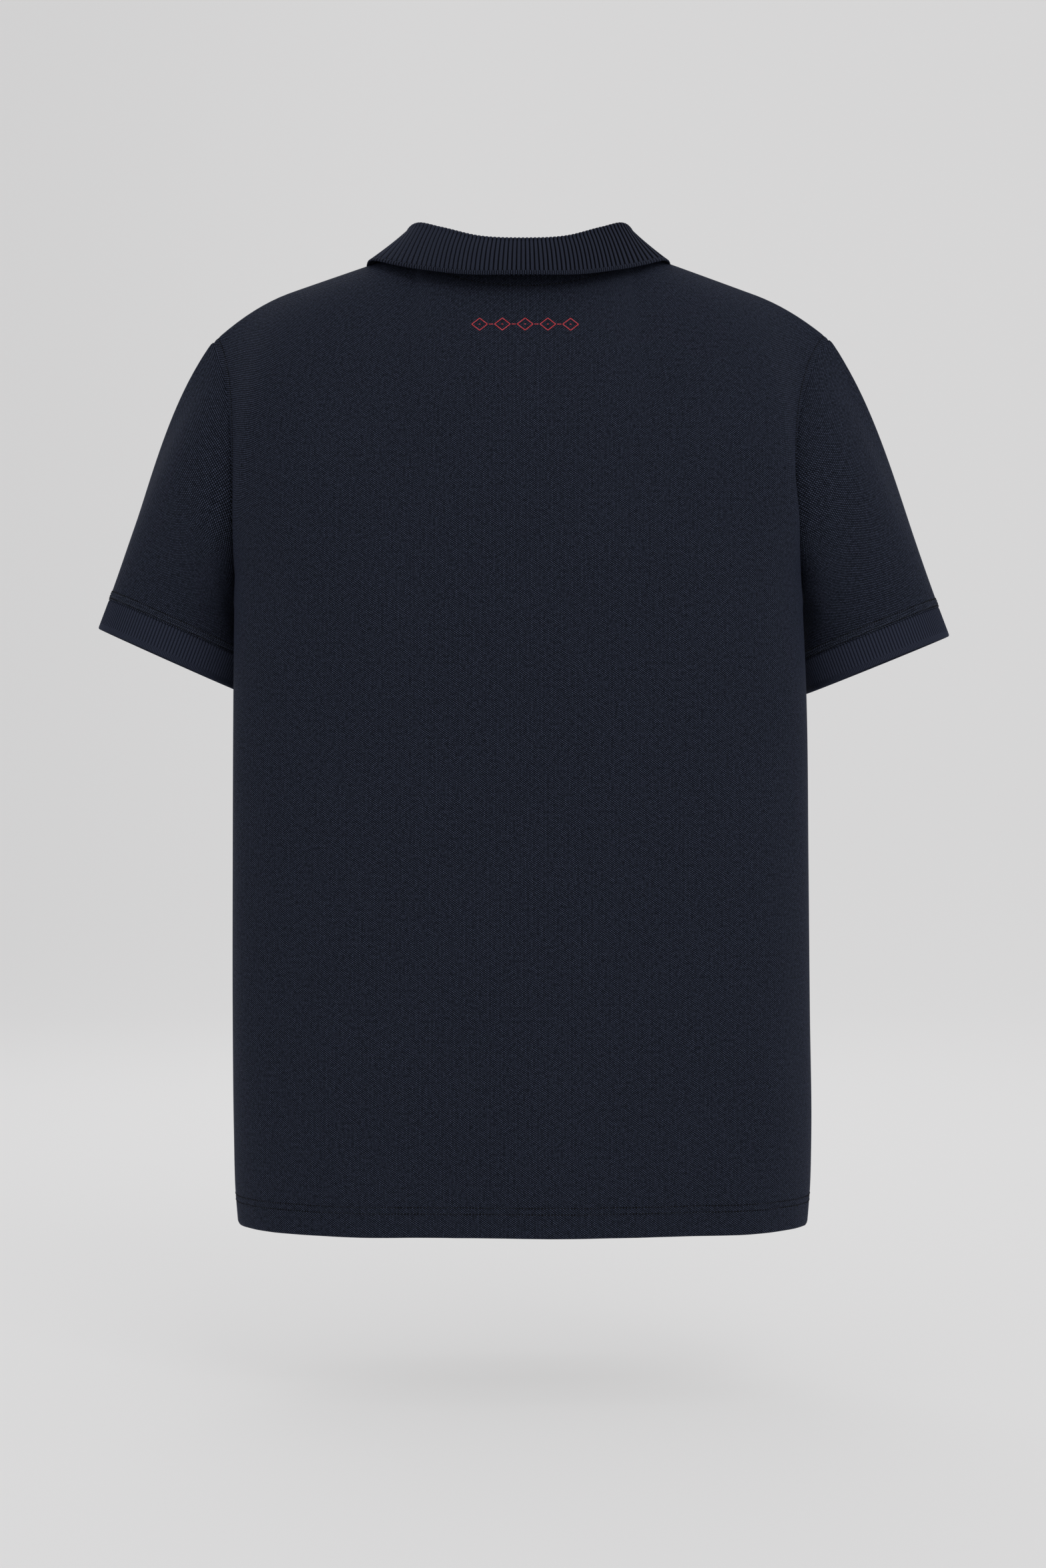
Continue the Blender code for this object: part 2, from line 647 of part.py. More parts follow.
def collar_length():
    fold = smooth_table(both_halves(FOLD_LINE), np.linspace(0.0, 1.0, 200))
    return 2 * np.sum(np.linalg.norm(np.diff(fold, axis=0), axis=1))


def make_cuff(name, side, material):
    """A ribbed band below the sleeve, square to the arm."""
    perimeter = math.pi * (CUFF_HALF_WIDTH + CUFF_HALF_DEPTH)
    count = CUFF_BACKING * round(perimeter / CUFF_RIB * 2 / CUFF_BACKING)
    turns = np.arange(count) / count
    heights = (CUFF_DEPTH - SEAM_GAP, 0.0)
    rings = np.array([cuff_ring(side, height, turns) for height in heights])
    centres = rings.mean(axis=1, keepdims=True)
    out = rings - centres
    out /= np.linalg.norm(out, axis=2, keepdims=True)
    ribs = np.where(np.arange(count) % 2 == 0, 0.0, -1.0) * RIB_HEIGHT
    ribbed = rings + out * ribs[None, :, None]
    plain = (rings - out * RIB_CLOTH)[:, ::CUFF_BACKING]
    add_object(name, ribbed_wall(ribbed, plain, CUFF_BACKING, closed=True), material)


def placket_points(front):
    """Points of the front panel on a straight strip down its middle, row by row."""
    middle = front.shape[1] // 2
    rows = []
    for row in front[: PLACKET_ROWS + 1]:
        edge = row[middle + 1, 0]
        across = np.array((-PLACKET_HALF_WIDTH, -edge, 0.0, edge, PLACKET_HALF_WIDTH))
        near = row[middle - 2 : middle + 3]
        rows.append([across] + [np.interp(across, near[:, 0], near[:, axis]) for axis in (1, 2)])
    return np.array(rows).transpose(0, 2, 1)


def strip_normals(points):
    out = grid_normals(points)
    return out * -np.sign(out[0, 0, 1])


def make_placket(name, points, lift, material):
    """A strip of the front's own skin, moved out or in by lift."""
    raised = points + strip_normals(points) * (lift + CLOTH)
    drop = raised[1] - raised[0]
    raised[0] += drop / np.linalg.norm(drop, axis=1, keepdims=True) * SEAM_GAP
    sheet = grid_mesh(raised)
    face_outwards(sheet, lambda middle: Vector((0, 0, middle.z)))
    normals = {place_key(v.co): v.normal.copy() for v in sheet.verts}
    make_wall(sheet, normals, lambda point: CLOTH)
    add_object(name, sheet, material)


def button_profile():
    """Half section of a button, from the middle of its back round its rim to the middle of its face."""
    edge = 0.0007
    return (
        (0.0, 0.0),
        (BUTTON_RADIUS - edge, 0.0),
        (BUTTON_RADIUS, edge),
        (BUTTON_RADIUS, BUTTON_THICKNESS - edge),
        (BUTTON_RADIUS - edge, BUTTON_THICKNESS),
        (BUTTON_WELL_RADIUS + edge, BUTTON_THICKNESS),
        (BUTTON_WELL_RADIUS, BUTTON_THICKNESS - BUTTON_WELL_DEPTH),
        (0.0, BUTTON_THICKNESS - BUTTON_WELL_DEPTH),
    )


def make_button(number, row, points, material):
    """A four-hole button seated on the placket."""
    turned = bmesh.new()
    verts = [turned.verts.new((radius, 0.0, height)) for radius, height in button_profile()]
    edges = [turned.edges.new(pair) for pair in zip(verts, verts[1:])]
    bmesh.ops.spin(
        turned,
        geom=verts + edges,
        axis=(0, 0, 1),
        cent=(0, 0, 0),
        steps=BUTTON_TURNS,
        angle=2 * math.pi,
        use_merge=True,
    )
    bmesh.ops.remove_doubles(turned, verts=turned.verts, dist=1e-6)
    bmesh.ops.recalc_face_normals(turned, faces=turned.faces)
    middle = points.shape[1] // 2
    low = int(row)
    seat = points[low, middle] * (1 - row + low) + points[low + 1, middle] * (row - low)
    down = points[low + 1, middle] - points[low, middle]
    out = np.cross(down, (1.0, 0.0, 0.0))
    out *= -np.sign(out[1]) / np.linalg.norm(out)
    seat = seat + out * (PLACKET_LIFT + CLOTH + BUTTON_SEAT)
    turn = Vector((0, 0, 1)).rotation_difference(Vector(out)).to_matrix().to_4x4()
    place = Matrix.Translation(Vector(seat)) @ turn
    button = add_object(f"button_{number}", turned, material, smooth=False)
    button.matrix_world = place
    for k in range(4):
        angle = math.radians(45 + 90 * k)
        hole = bmesh.new()
        bmesh.ops.create_cone(
            hole,
            cap_ends=True,
            segments=BUTTON_HOLE_SIDES,
            radius1=BUTTON_HOLE_RADIUS,
            radius2=BUTTON_HOLE_RADIUS,
            depth=4 * BUTTON_THICKNESS,
        )
        mesh = bpy.data.meshes.new(f"hole_{number}_{k}")
        hole.to_mesh(mesh)
        hole.free()
        cutter = bpy.data.objects.new(f"hole_{number}_{k}", mesh)
        bpy.data.collections["cutters"].objects.link(cutter)
        offset = (BUTTON_HOLE_OFFSET * math.cos(angle), BUTTON_HOLE_OFFSET * math.sin(angle), 0)
        cutter.matrix_world = place @ Matrix.Translation(offset)
        cutter.hide_render = True
        cutter.display_type = "WIRE"
        cut = button.modifiers.new(f"hole_{k}", "BOOLEAN")
        cut.operation = "DIFFERENCE"
        cut.object = cutter


def main():
    clear_scene()
    for name in (NAME, "cutters"):
        old = bpy.data.collections.get(name)
        if old:
            bpy.data.collections.remove(old)
        bpy.context.scene.collection.children.link(bpy.data.collections.new(name))
    pique = finish("pique", PIQUE, 0.85)
    rib_knit = finish("rib_knit", RIB_KNIT, 0.88)
    button_blue = finish("button", BUTTON_BLUE, 0.35)

    back, front = panel_points("back"), panel_points("front")
    sleeves = {side: sleeve_points(side) for side in (1, -1)}
    sheets = {
        "back_panel": grid_mesh(back),
        "front_panel": grid_mesh(front),
        "sleeve_left": grid_mesh(sleeves[1], closed=True),
        "sleeve_right": grid_mesh(sleeves[-1], closed=True),
    }
    for name, sheet in sheets.items():
        side = {"sleeve_left": 1, "sleeve_right": -1}.get(name, 0)
        arm = Vector((side * ARM_MIDDLE[0], ARM_MIDDLE[1], ARM_MIDDLE[2]))
        face_outwards(sheet, lambda point, side=side, arm=arm: arm if side else Vector((0, 0, point.z)))
    skin, normals = join_skin(sheets.values())
    panels, panel_normals = join_skin([sheets["back_panel"], sheets["front_panel"]])
    skin_tree = BVHTree.FromBMesh(panels)
    edge = neck_edge(back, front, normals)
    for points in sleeves.values():
        square_to_cuff(points[-1], normals)
    skin.free()
    panels.free()
    armpits = [place_key(points[0][TOP_ROWS]) for points in sleeves.values()]
    sleeve_normals = {key: normal for key, normal in normals.items() if key not in armpits}
    normals.update({key: panel_normals[key] for key in armpits})
    cut_slit(sheets["front_panel"], front)
    for name, sheet in sheets.items():
        own = sleeve_normals if name.startswith("sleeve") else normals
        add_object(name, make_wall(sheet, own, cloth_thickness), pique)
    make_collar(edge, skin_tree, rib_knit)
    make_cuff("cuff_left", 1, rib_knit)
    make_cuff("cuff_right", -1, rib_knit)
    strip = placket_points(front)
    make_placket("placket_over", strip, PLACKET_LIFT, pique)
    make_placket("placket_under", strip, -2 * CLOTH - PLACKET_LIFT, pique)
    for number, row in enumerate(BUTTON_ROWS, 1):
        make_button(number, row, strip, button_blue)


main()
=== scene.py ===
"""Dresses the polo shirt's solids: cloth shells with soft creases, ribbed collar and cuffs, stitching, studio light."""

import math
from types import SimpleNamespace

import bmesh
import bpy
import numpy as np
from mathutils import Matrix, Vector
from mathutils.bvhtree import BVHTree


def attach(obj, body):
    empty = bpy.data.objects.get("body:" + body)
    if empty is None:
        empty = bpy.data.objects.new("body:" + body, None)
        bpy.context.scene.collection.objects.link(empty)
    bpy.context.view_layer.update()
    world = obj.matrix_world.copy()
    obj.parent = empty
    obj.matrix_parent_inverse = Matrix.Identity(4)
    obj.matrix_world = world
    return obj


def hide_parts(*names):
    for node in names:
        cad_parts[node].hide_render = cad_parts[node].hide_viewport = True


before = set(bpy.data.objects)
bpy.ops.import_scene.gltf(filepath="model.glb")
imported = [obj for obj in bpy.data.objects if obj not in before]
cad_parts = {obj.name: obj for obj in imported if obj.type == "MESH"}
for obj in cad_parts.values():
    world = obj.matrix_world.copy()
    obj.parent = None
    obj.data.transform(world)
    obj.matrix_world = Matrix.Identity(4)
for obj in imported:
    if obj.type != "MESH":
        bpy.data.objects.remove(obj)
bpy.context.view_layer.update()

CLOTH = 0.0015
HEM_CLOTH = 0.0024
RIB_CLOTH = 0.0018
SEAM_GAP = 0.00001
HAIR = 1e-6
SHARP = math.radians(60)
ACROSS = np.array((1.0, 0.0, 0.0))
UP = np.array((0.0, 0.0, 1.0))

# The shirt's sections and seam lines, as its solids have them.
ARMPIT_Z = -0.240
HEM_Z = -0.712
HEM_DEPTH = 0.025
SIDE_SEAM_Y = 0.008
SECTION_SAMPLES = 400
BACK_ROUND = 2.7
FRONT_ROUND = 1.95
# height, half width on the wearer's left, on the right, reach to the back, reach to the front
BODY_SECTIONS = (
    (-0.24, 0.2105, 0.203, 0.112, 0.113), (-0.33, 0.2115, 0.207, 0.1095, 0.115),
    (-0.45, 0.212, 0.2085, 0.107, 0.116), (-0.56, 0.212, 0.2095, 0.1085, 0.115),
    (-0.65, 0.211, 0.2105, 0.112, 0.113), (-0.687, 0.21, 0.2095, 0.113, 0.112),
    (-0.712, 0.208, 0.2075, 0.1125, 0.111),
)  # fmt: skip
# Long folds that run down to the hem, in millimetres: place across, top, half width, depth
BODY_FOLDS = {
    "back": (
        (125, -300, 40, 3.5), (55, -420, 38, -3), (-30, -480, 36, 2.8), (-105, -380, 42, -3.2),
        (-165, -300, 30, 3),
    ),
    "front": (
        (120, -340, 42, 3.5), (45, -300, 40, -3.2), (-50, -400, 38, 3), (-130, -320, 40, -3.4),
    ),
}  # fmt: skip
NECK_HALF_WIDTH = 0.075
NECK_POINT_Z = 0.002
BACK_NECK_Y = 0.056
BACK_NECK_Z = -0.028
FRONT_NECK_Y = -0.060
FRONT_NECK_Z = -0.076
NECK_STRAIGHT = {"back": 1.0, "front": 0.46}
# Which side: 1 is the wearer's left, -1 the right
SHOULDER_SLOPE = {1: 0.342, -1: 0.360}
SHOULDER_ROUND_FROM = 0.170
SHOULDER_ROUND = {1: 5.0, -1: 4.3}
SHOULDER_END_Y = -0.002
SHOULDER_HALF_WIDTH = {1: 0.2285, -1: 0.2258}
ARMHOLE_LEAN = {
    ("back", 1): (0.023, 0.000),
    ("back", -1): (0.037, 0.008),
    ("front", 1): (0.027, 0.010),
    ("front", -1): (0.027, 0.008),
}
NECK_SHARE = {"back": 5 / 14, "front": 0.4375}
# Where the slit for the placket leaves the neck seam, as a share of the seam's quarter turn
SLIT_TURN = 0.098
# The solids' own columns along the neck, which the collar's foot is spread by
NECK_COLUMNS = {"back": (0.0, 0.2, 0.4, 0.6, 0.8, 1.0), "front": (0.0, SLIT_TURN, 0.27, 0.45, 0.63, 0.82, 1.0)}
# How a panel's surface leaves its top seam and how it reaches the armpit level: share from its middle to its side, then
# across (times the lean of the armhole), forward and up
LEAVE_TOP = {
    "back": (
        (0.0, 0.0, 0.036, -0.054), (0.357, -0.1, 0.062, -0.03), (0.6, 0.1, 0.066, -0.024),
        (0.85, 0.55, 0.06, -0.03), (1.0, 1.0, 0.042, -0.041),
    ),
    "front": (
        (0.0, 0.0, -0.03, -0.04), (0.438, -0.1, -0.055, -0.034), (0.7, 0.25, -0.058, -0.03),
        (0.88, 0.6, -0.056, -0.036), (1.0, 1.0, -0.045, -0.05),
    ),
}  # fmt: skip
REACH_ARMPIT = {
    "back": (
        (0.0, 0.0, 0.0, 0.085), (0.5, 0.0, 0.002, 0.1), (0.8, 0.3, 0.035, 0.088),
        (0.93, 0.7, 0.068, 0.062), (1.0, 1.0, 0.075, 0.035),
    ),
    "front": (
        (0.0, 0.0, 0.0, 0.07), (0.5, 0.0, -0.003, 0.095), (0.8, 0.3, -0.035, 0.085),
        (0.93, 0.7, -0.068, 0.06), (1.0, 1.0, -0.08, 0.03),
    ),
}  # fmt: skip
# Cuffs: where their middle lies at the lower edge, and how far their outer side tips up
CUFF_DEPTH = 0.023
CUFF_FOOT = {1: (0.2638, -0.036, -0.3008), -1: (0.2643, -0.036, -0.3044)}
CUFF_TILT = {1: math.radians(24), -1: math.radians(22)}
CUFF_HALF_WIDTH = 0.058
CUFF_HALF_DEPTH = 0.051
SLEEVE_AXIS = (0.350, 0.020, -0.937)
# How a sleeve's surface leaves the armhole: turn from the underarm round the front and the outside, then its way
LEAVE_ARMHOLE = (
    (0.0, 0.037, 0.0, -0.05), (0.125, 0.046, 0.012, -0.04), (0.25, 0.046, 0.008, -0.034),
    (0.375, 0.032, -0.002, -0.036), (0.45, 0.018, -0.008, -0.032), (0.5, 0.004, -0.012, -0.028),
    (0.55, 0.018, -0.006, -0.032), (0.625, 0.032, 0.0, -0.036), (0.75, 0.048, -0.004, -0.036),
    (0.875, 0.046, -0.01, -0.042), (1.0, 0.037, 0.0, -0.05),
)  # fmt: skip
REACH_CUFF_TOP = 0.075
REACH_CUFF_UNDER = 0.026
UNDERARM_TURN = 1.3
# The collar: share from the back's middle to the front, then x, y and z; at the leaf's edge also its height over the
# panels, and in the bulge how far the leaf swells out
FOLD_LINE = (
    (0.0, 0.0, 0.0555, -0.001), (0.15, 0.031, 0.052, 0.001), (0.3, 0.06, 0.037, 0.01),
    (0.39, 0.0765, 0.019, 0.016), (0.455, 0.0825, 0.002, 0.015), (0.56, 0.08, -0.022, 0.0085),
    (0.7, 0.063, -0.05, -0.02), (0.85, 0.034, -0.068, -0.049), (1.0, 0.003, -0.0745, -0.062),
)  # fmt: skip
LEAF_EDGE = (
    (0.0, 0.0, 0.076, -0.03, 0.0165), (0.15, 0.036, 0.072, -0.028, 0.014),
    (0.3, 0.072, 0.056, -0.02, 0.01), (0.39, 0.096, 0.033, -0.014, 0.008),
    (0.455, 0.114, 0.006, -0.0085, 0.0055), (0.54, 0.112, -0.024, -0.024, 0.0045),
    (0.66, 0.101, -0.052, -0.056, 0.004), (0.82, 0.076, -0.081, -0.098, 0.0036),
    (1.0, 0.046, -0.095, -0.126, 0.004),
)  # fmt: skip
REST_SMOOTHING = 60
FOLD_RADIUS = 0.0022
LEAF_BULGE = (
    (0.0, 0.006), (0.25, 0.005), (0.36, 0.0015), (0.455, -0.0015),
    (0.56, 0.001), (0.75, 0.004), (1.0, 0.004),
)  # fmt: skip
# How wide the wearer's right half is against the left
COLLAR_RIGHT = ((0.0, 1.0), (0.4, 0.945), (1.0, 1.0))
# Ribs: their pitch on the pieces' own length, and the whole groups of columns that their number has to fit
COLLAR_RIB = 0.0036
CUFF_RIB = 0.00235
COLLAR_BACKING = 4
CUFF_BACKING = 8
PLACKET_HALF_WIDTH = 0.0165
PLACKET_LIFT = 0.0004
STRIP_ROW = 0.0020
SLIT_SHARE = SLIT_TURN * NECK_SHARE["front"]
SLIT_FOOT = 0.8
# Columns of the front's grid from its middle to the first beside the slit at which the neck stitches begin
SLIT_CELLS = 4
PLACKET_FOOT = 0.9
BUTTON_PLACES = (0.05, 0.35, 0.65)
BUTTON_SEAT = 0.0008
BUTTON_FACE = 0.0018
BUTTON_HOLE_OFFSET = 0.0014
# The solids' yoke has this many rows, and the buttons sit on the flat places between them
SOLID_ROWS = 10

# Fine steps over the panels: down the yoke, down the body, out along the shoulder and in from its end in millimetres
YOKE_STEPS = (0.0, 0.005, 0.010, 0.016, 0.024, 0.032, 0.039, 0.043, 0.046, 0.049, 0.053, 0.060, 0.075)
YOKE_STEPS += tuple(round(0.1 + 0.025 * k, 4) for k in range(37))
BODY_STEPS = tuple(round(-0.250 - 0.010 * k, 4) for k in range(44))
HEM_STEPS = (-0.6835, -0.6860, -0.6880, -0.6893, -0.6905, -0.6918, -0.6934, -0.6950, -0.6963, -0.6977, -0.7005)
HEM_STEPS += (-0.7045, -0.7075, -0.7098, -0.7110, -0.7117, HEM_Z)
HEM_ROWS = (-0.6905, -0.6950)
NECK_STITCH = 0.046
EDGE_MM = np.array((8, 6.5, 5.3, 4.5, 3.9, 3.3, 2.7, 2, 1.3, 0.6, 0.0))
SHARE_A_MM = 0.0066
SHOULDER_STEPS = np.concatenate((np.linspace(0.0, 0.92, 24), 1 - SHARE_A_MM * EDGE_MM))
NECK_CELLS = 14
NECK_TURNS = {
    "back": np.linspace(0.0, 1.0, NECK_CELLS + 1)[:-1],
    "front": np.append(SLIT_TURN / 2, np.linspace(SLIT_TURN, 1.0, NECK_CELLS + 1)[:-1]),
}

# Soft creases placed on each piece laid flat, in millimetres: from, to, half width, depth. On the panels the
# first number runs to the wearer's left from the middle and the second up from the armpit level.
CREASES = {
    "back": (
        (45, 175, 120, 150, 11, 0.7), (50, 160, 105, 128, 10, -0.7), (-60, 172, -130, 140, 12, 0.6),
        (205, 55, 120, -30, 16, 1), (215, 20, 150, -90, 15, -0.9), (-205, 50, -110, -60, 18, 1),
        (-222, 5, -160, -120, 14, -1), (30, -20, 52, -200, 26, -0.8), (-70, -60, -55, -260, 24, 0.9),
        (160, -140, 172, -400, 18, -1.2), (222, -120, 215, -330, 14, 1), (-200, -150, -214, -420, 17, -1.2),
        (-10, -300, 4, -455, 14, 0.9), (88, -330, 96, -450, 12, 0.9), (-140, -320, -128, -450, 13, -1),
    ),
    "front": (
        (60, 120, 140, 60, 14, 0.9), (-70, 110, -150, 40, 15, 0.9), (215, 40, 120, -40, 16, 1.2),
        (222, 10, 145, -95, 15, -1.1), (-210, 45, -125, -40, 17, 1.1), (-218, 10, -160, -110, 14, -1),
        (12, -15, 60, -170, 18, 1.1), (-12, -15, -45, -150, 16, -1), (100, -120, 85, -330, 24, -1.2),
        (-90, -140, -100, -380, 22, 1.2), (175, -160, 188, -410, 18, 1.3), (-180, -180, -168, -430, 19, -1.2),
        (10, -310, 0, -455, 15, 1), (135, -340, 128, -455, 12, -0.9), (-60, -350, -52, -455, 12, -0.9),
    ),
    # On the sleeves the first number runs round the arm from its outside to the back, the second up from the cuff.
    "sleeve_left": (
        (60, 205, 50, 110, 12, 1), (20, 190, 12, 80, 14, -0.9), (110, 130, 80, 60, 11, 1.3),
        (145, 75, 115, 30, 9, -1.4), (150, 95, 128, 55, 8, 1.2), (-50, 200, -45, 95, 13, 1),
        (-105, 125, -80, 50, 11, -1.3), (-140, 80, -115, 30, 9, 1.3),
    ),
    "sleeve_right": (
        (52, 200, 60, 105, 13, 0.9), (14, 185, 20, 90, 12, -1), (105, 120, 85, 50, 12, -1.2),
        (140, 80, 118, 28, 9, 1.4), (155, 85, 138, 50, 8, -1.1), (-40, 195, -52, 100, 14, -1),
        (-110, 115, -78, 55, 10, 1.2), (-145, 70, -120, 30, 9, -1.3),
    ),
}  # fmt: skip
# Ripples of the hem, in millimetres: place across, half width, depth
HEM_RIPPLES = {
    "back": (
        (-232, 7, 0.6), (-196, 10, -0.6), (-158, 8, 0.7), (-121, 11, -0.5), (-83, 7, 0.6), (-57, 9, -0.7),
        (-19, 8, 0.5), (11, 10, -0.6), (47, 7, 0.7), (79, 9, -0.5), (112, 8, 0.6), (143, 10, -0.7),
        (181, 8, 0.6), (214, 9, -0.6),
    ),
    "front": (
        (-226, 9, -0.6), (-189, 8, 0.6), (-149, 10, -0.6), (-110, 7, 0.7), (-76, 9, -0.5), (-37, 8, 0.6),
        (-4, 10, -0.7), (33, 7, 0.6), (65, 10, -0.5), (101, 8, 0.7), (136, 9, -0.6), (172, 8, 0.6),
        (207, 10, -0.6),
    ),
}  # fmt: skip


def smooth_table(rows, at):
    """The table's columns at each value of its first one, on a smooth curve through the rows."""
    rows = np.asarray(rows, float)
    rows = rows[np.argsort(rows[:, 0])]
    keys, values = rows[:, 0], rows[:, 1:]
    slopes = np.gradient(values, keys, axis=0)
    at = np.atleast_1d(np.clip(at, keys[0], keys[-1]))
    low = np.clip(np.searchsorted(keys, at, side="right") - 1, 0, len(keys) - 2)
    span = (keys[low + 1] - keys[low])[:, None]
    t = (at - keys[low])[:, None] / span
    return (
        (2 * t**3 - 3 * t**2 + 1) * values[low]
        + (t**3 - 2 * t**2 + t) * span * slopes[low]
        + (3 * t**2 - 2 * t**3) * values[low + 1]
        + (t**3 - t**2) * span * slopes[low + 1]
    )


def smooth_half(rows, at):
    """A smooth table of one half, level at the middle, where the other half mirrors it."""
    key, x, *rest = rows[1]
    return smooth_table(((-key, -x, *rest), *rows), at)


def bezier(start, leave, reach, end, t):
    s = 1.0 - t
    return s**3 * start + 3 * s * s * t * leave + 3 * s * t * t * reach + t**3 * end


def unit(vectors):
    return vectors / np.maximum(np.linalg.norm(vectors, axis=-1, keepdims=True), 1e-12)


def ease(x, low, high):
    """0 below low and 1 above high, smoothly."""
    t = np.clip((x - low) / (high - low), 0.0, 1.0)
    return t * t * (3 - 2 * t)


def bell(x, half_width):
    return np.exp(-((x / half_width) ** 2))


def quarter_section(half_width, reach, exponent, shares):
    angle = np.linspace(0.0, math.pi / 2, SECTION_SAMPLES)
    x = half_width * np.sin(angle) ** (2 / exponent)
    y = reach * np.cos(angle) ** (2 / exponent)
    run = np.concatenate(([0.0], np.cumsum(np.hypot(np.diff(x), np.diff(y)))))
    run /= run[-1]
    return np.interp(shares, run, x), np.interp(shares, run, y)


def fold_push(face, x, z):
    push = np.zeros(np.broadcast(x, z).shape)
    for across, top, half_width, depth in np.array(BODY_FOLDS[face]) / 1000:
        down = np.clip((top - z) / (top - HEM_Z), 0.0, 1.0)
        push = push + depth * down**1.3 * bell(x - across, half_width)
    return push


def body_row(face, shares, z):
    """A row of a panel below the arms, at signed shares from its middle."""
    left, right, back, front = smooth_table(BODY_SECTIONS, z)[0]
    reach = back - SIDE_SEAM_Y if face == "back" else front + SIDE_SEAM_Y
    exponent = BACK_ROUND if face == "back" else FRONT_ROUND
    away = 1 if face == "back" else -1
    halves = [quarter_section(half_width, reach, exponent, np.abs(shares)) for half_width in (left, right)]
    x = np.where(shares >= 0, halves[0][0], -halves[1][0])
    y = np.where(shares >= 0, halves[0][1], halves[1][1])
    y = SIDE_SEAM_Y + away * (y + fold_push(face, x, z) * (1 - shares**4))
    return np.stack((x, y, np.full_like(x, z)), axis=1)


def neck_seam(face, turns):
    angle = np.asarray(turns) * math.pi / 2
    towards_middle = np.maximum(0.0, np.cos(angle))
    straight = NECK_STRAIGHT[face]
    drop = straight * towards_middle + (1 - straight) * towards_middle**2
    y, z = (BACK_NECK_Y, BACK_NECK_Z) if face == "back" else (FRONT_NECK_Y, FRONT_NECK_Z)
    x = NECK_HALF_WIDTH * np.sin(angle)
    return np.stack((x, y * towards_middle, NECK_POINT_Z + (z - NECK_POINT_Z) * drop), axis=-1)


def top_seam(face, shares):
    """The upper edge of a panel, along the neck and then the shoulders."""
    side, share, split = np.where(shares < 0, -1.0, 1.0), np.abs(shares), NECK_SHARE[face]
    neck = neck_seam(face, np.minimum(share / split, 1.0))
    along = np.clip((share - split) / (1 - split), 0.0, 1.0)
    half, slope, rounding = (
        np.where(side > 0, sizes[1], sizes[-1]) for sizes in (SHOULDER_HALF_WIDTH, SHOULDER_SLOPE, SHOULDER_ROUND)
    )
    x = NECK_HALF_WIDTH + (half - NECK_HALF_WIDTH) * along
    z = NECK_POINT_Z - slope * (x - NECK_HALF_WIDTH) - rounding * np.maximum(0.0, x - SHOULDER_ROUND_FROM) ** 2
    shoulder = np.stack((x, SHOULDER_END_Y * along, z), axis=1)
    points = np.where((share <= split)[:, None], neck, shoulder)
    points[:, 0] *= side
    return points


def yoke_row(face, shares, t):
    """A row of a panel above the armpit level: t 0 is the top seam and 1 the armpit level."""
    side = np.where(shares < 0, -1.0, 1.0)
    leans = np.array([ARMHOLE_LEAN[face, 1 if s > 0 else -1] for s in side])
    start, end = top_seam(face, shares), body_row(face, shares, ARMPIT_Z)
    push = smooth_half(LEAVE_TOP[face], np.abs(shares))
    pull = smooth_half(REACH_ARMPIT[face], np.abs(shares))
    push[:, 0] *= -side * leans[:, 0]
    pull[:, 0] *= -side * leans[:, 1]
    return bezier(start, start + push, end + pull, end, t)


def panel_shares(face):
    split = NECK_SHARE[face]
    half = np.concatenate((NECK_TURNS[face] * split, split + (1 - split) * SHOULDER_STEPS))
    half = half[half > 0]
    return np.concatenate((-half[::-1], [0.0], half))


def panel_grid(face):
    shares = panel_shares(face)
    rows = [yoke_row(face, shares, t) for t in YOKE_STEPS]
    rows += [body_row(face, shares, z) for z in BODY_STEPS + HEM_STEPS]
    return np.array(rows)


def cuff_ring(side, up_the_arm, turns):
    """Points round the cuff: turn 0 outside, 0.25 back, 0.5 under, 0.75 front."""
    axis = sleeve_axis(1)
    centre = np.array(CUFF_FOOT[side]) - axis * up_the_arm
    across = np.array((math.cos(CUFF_TILT[side]), 0.0, math.sin(CUFF_TILT[side]))) * CUFF_HALF_WIDTH
    through = np.cross(across / CUFF_HALF_WIDTH, axis)
    through *= CUFF_HALF_DEPTH / np.linalg.norm(through)
    angles = 2 * math.pi * np.asarray(turns)[:, None]
    ring = centre + across * np.cos(angles) + through * np.sin(angles) * (1 if through[1] > 0 else -1)
    return ring * (side, 1, 1)


# Rows of a sleeve: steps down from the armhole, the number of even ones between, and distances above the cuff seam;
# then the two rows of its cover stitch
CAP_STEPS = (0.0, 0.004, 0.009, 0.015, 0.022, 0.032)
SLEEVE_ROWS = 26
CUFF_MM = (10.5, 9.0, 7.9, 7.3, 6.7, 6.1, 5.4, 4.0, 2.6, 1.9, 1.3, 0.7, 0.3, 0.0)
CUFF_ROWS = (0.0013, 0.0067)


def sleeve_axis(side):
    return unit(np.array(SLEEVE_AXIS)) * (side, 1, 1)


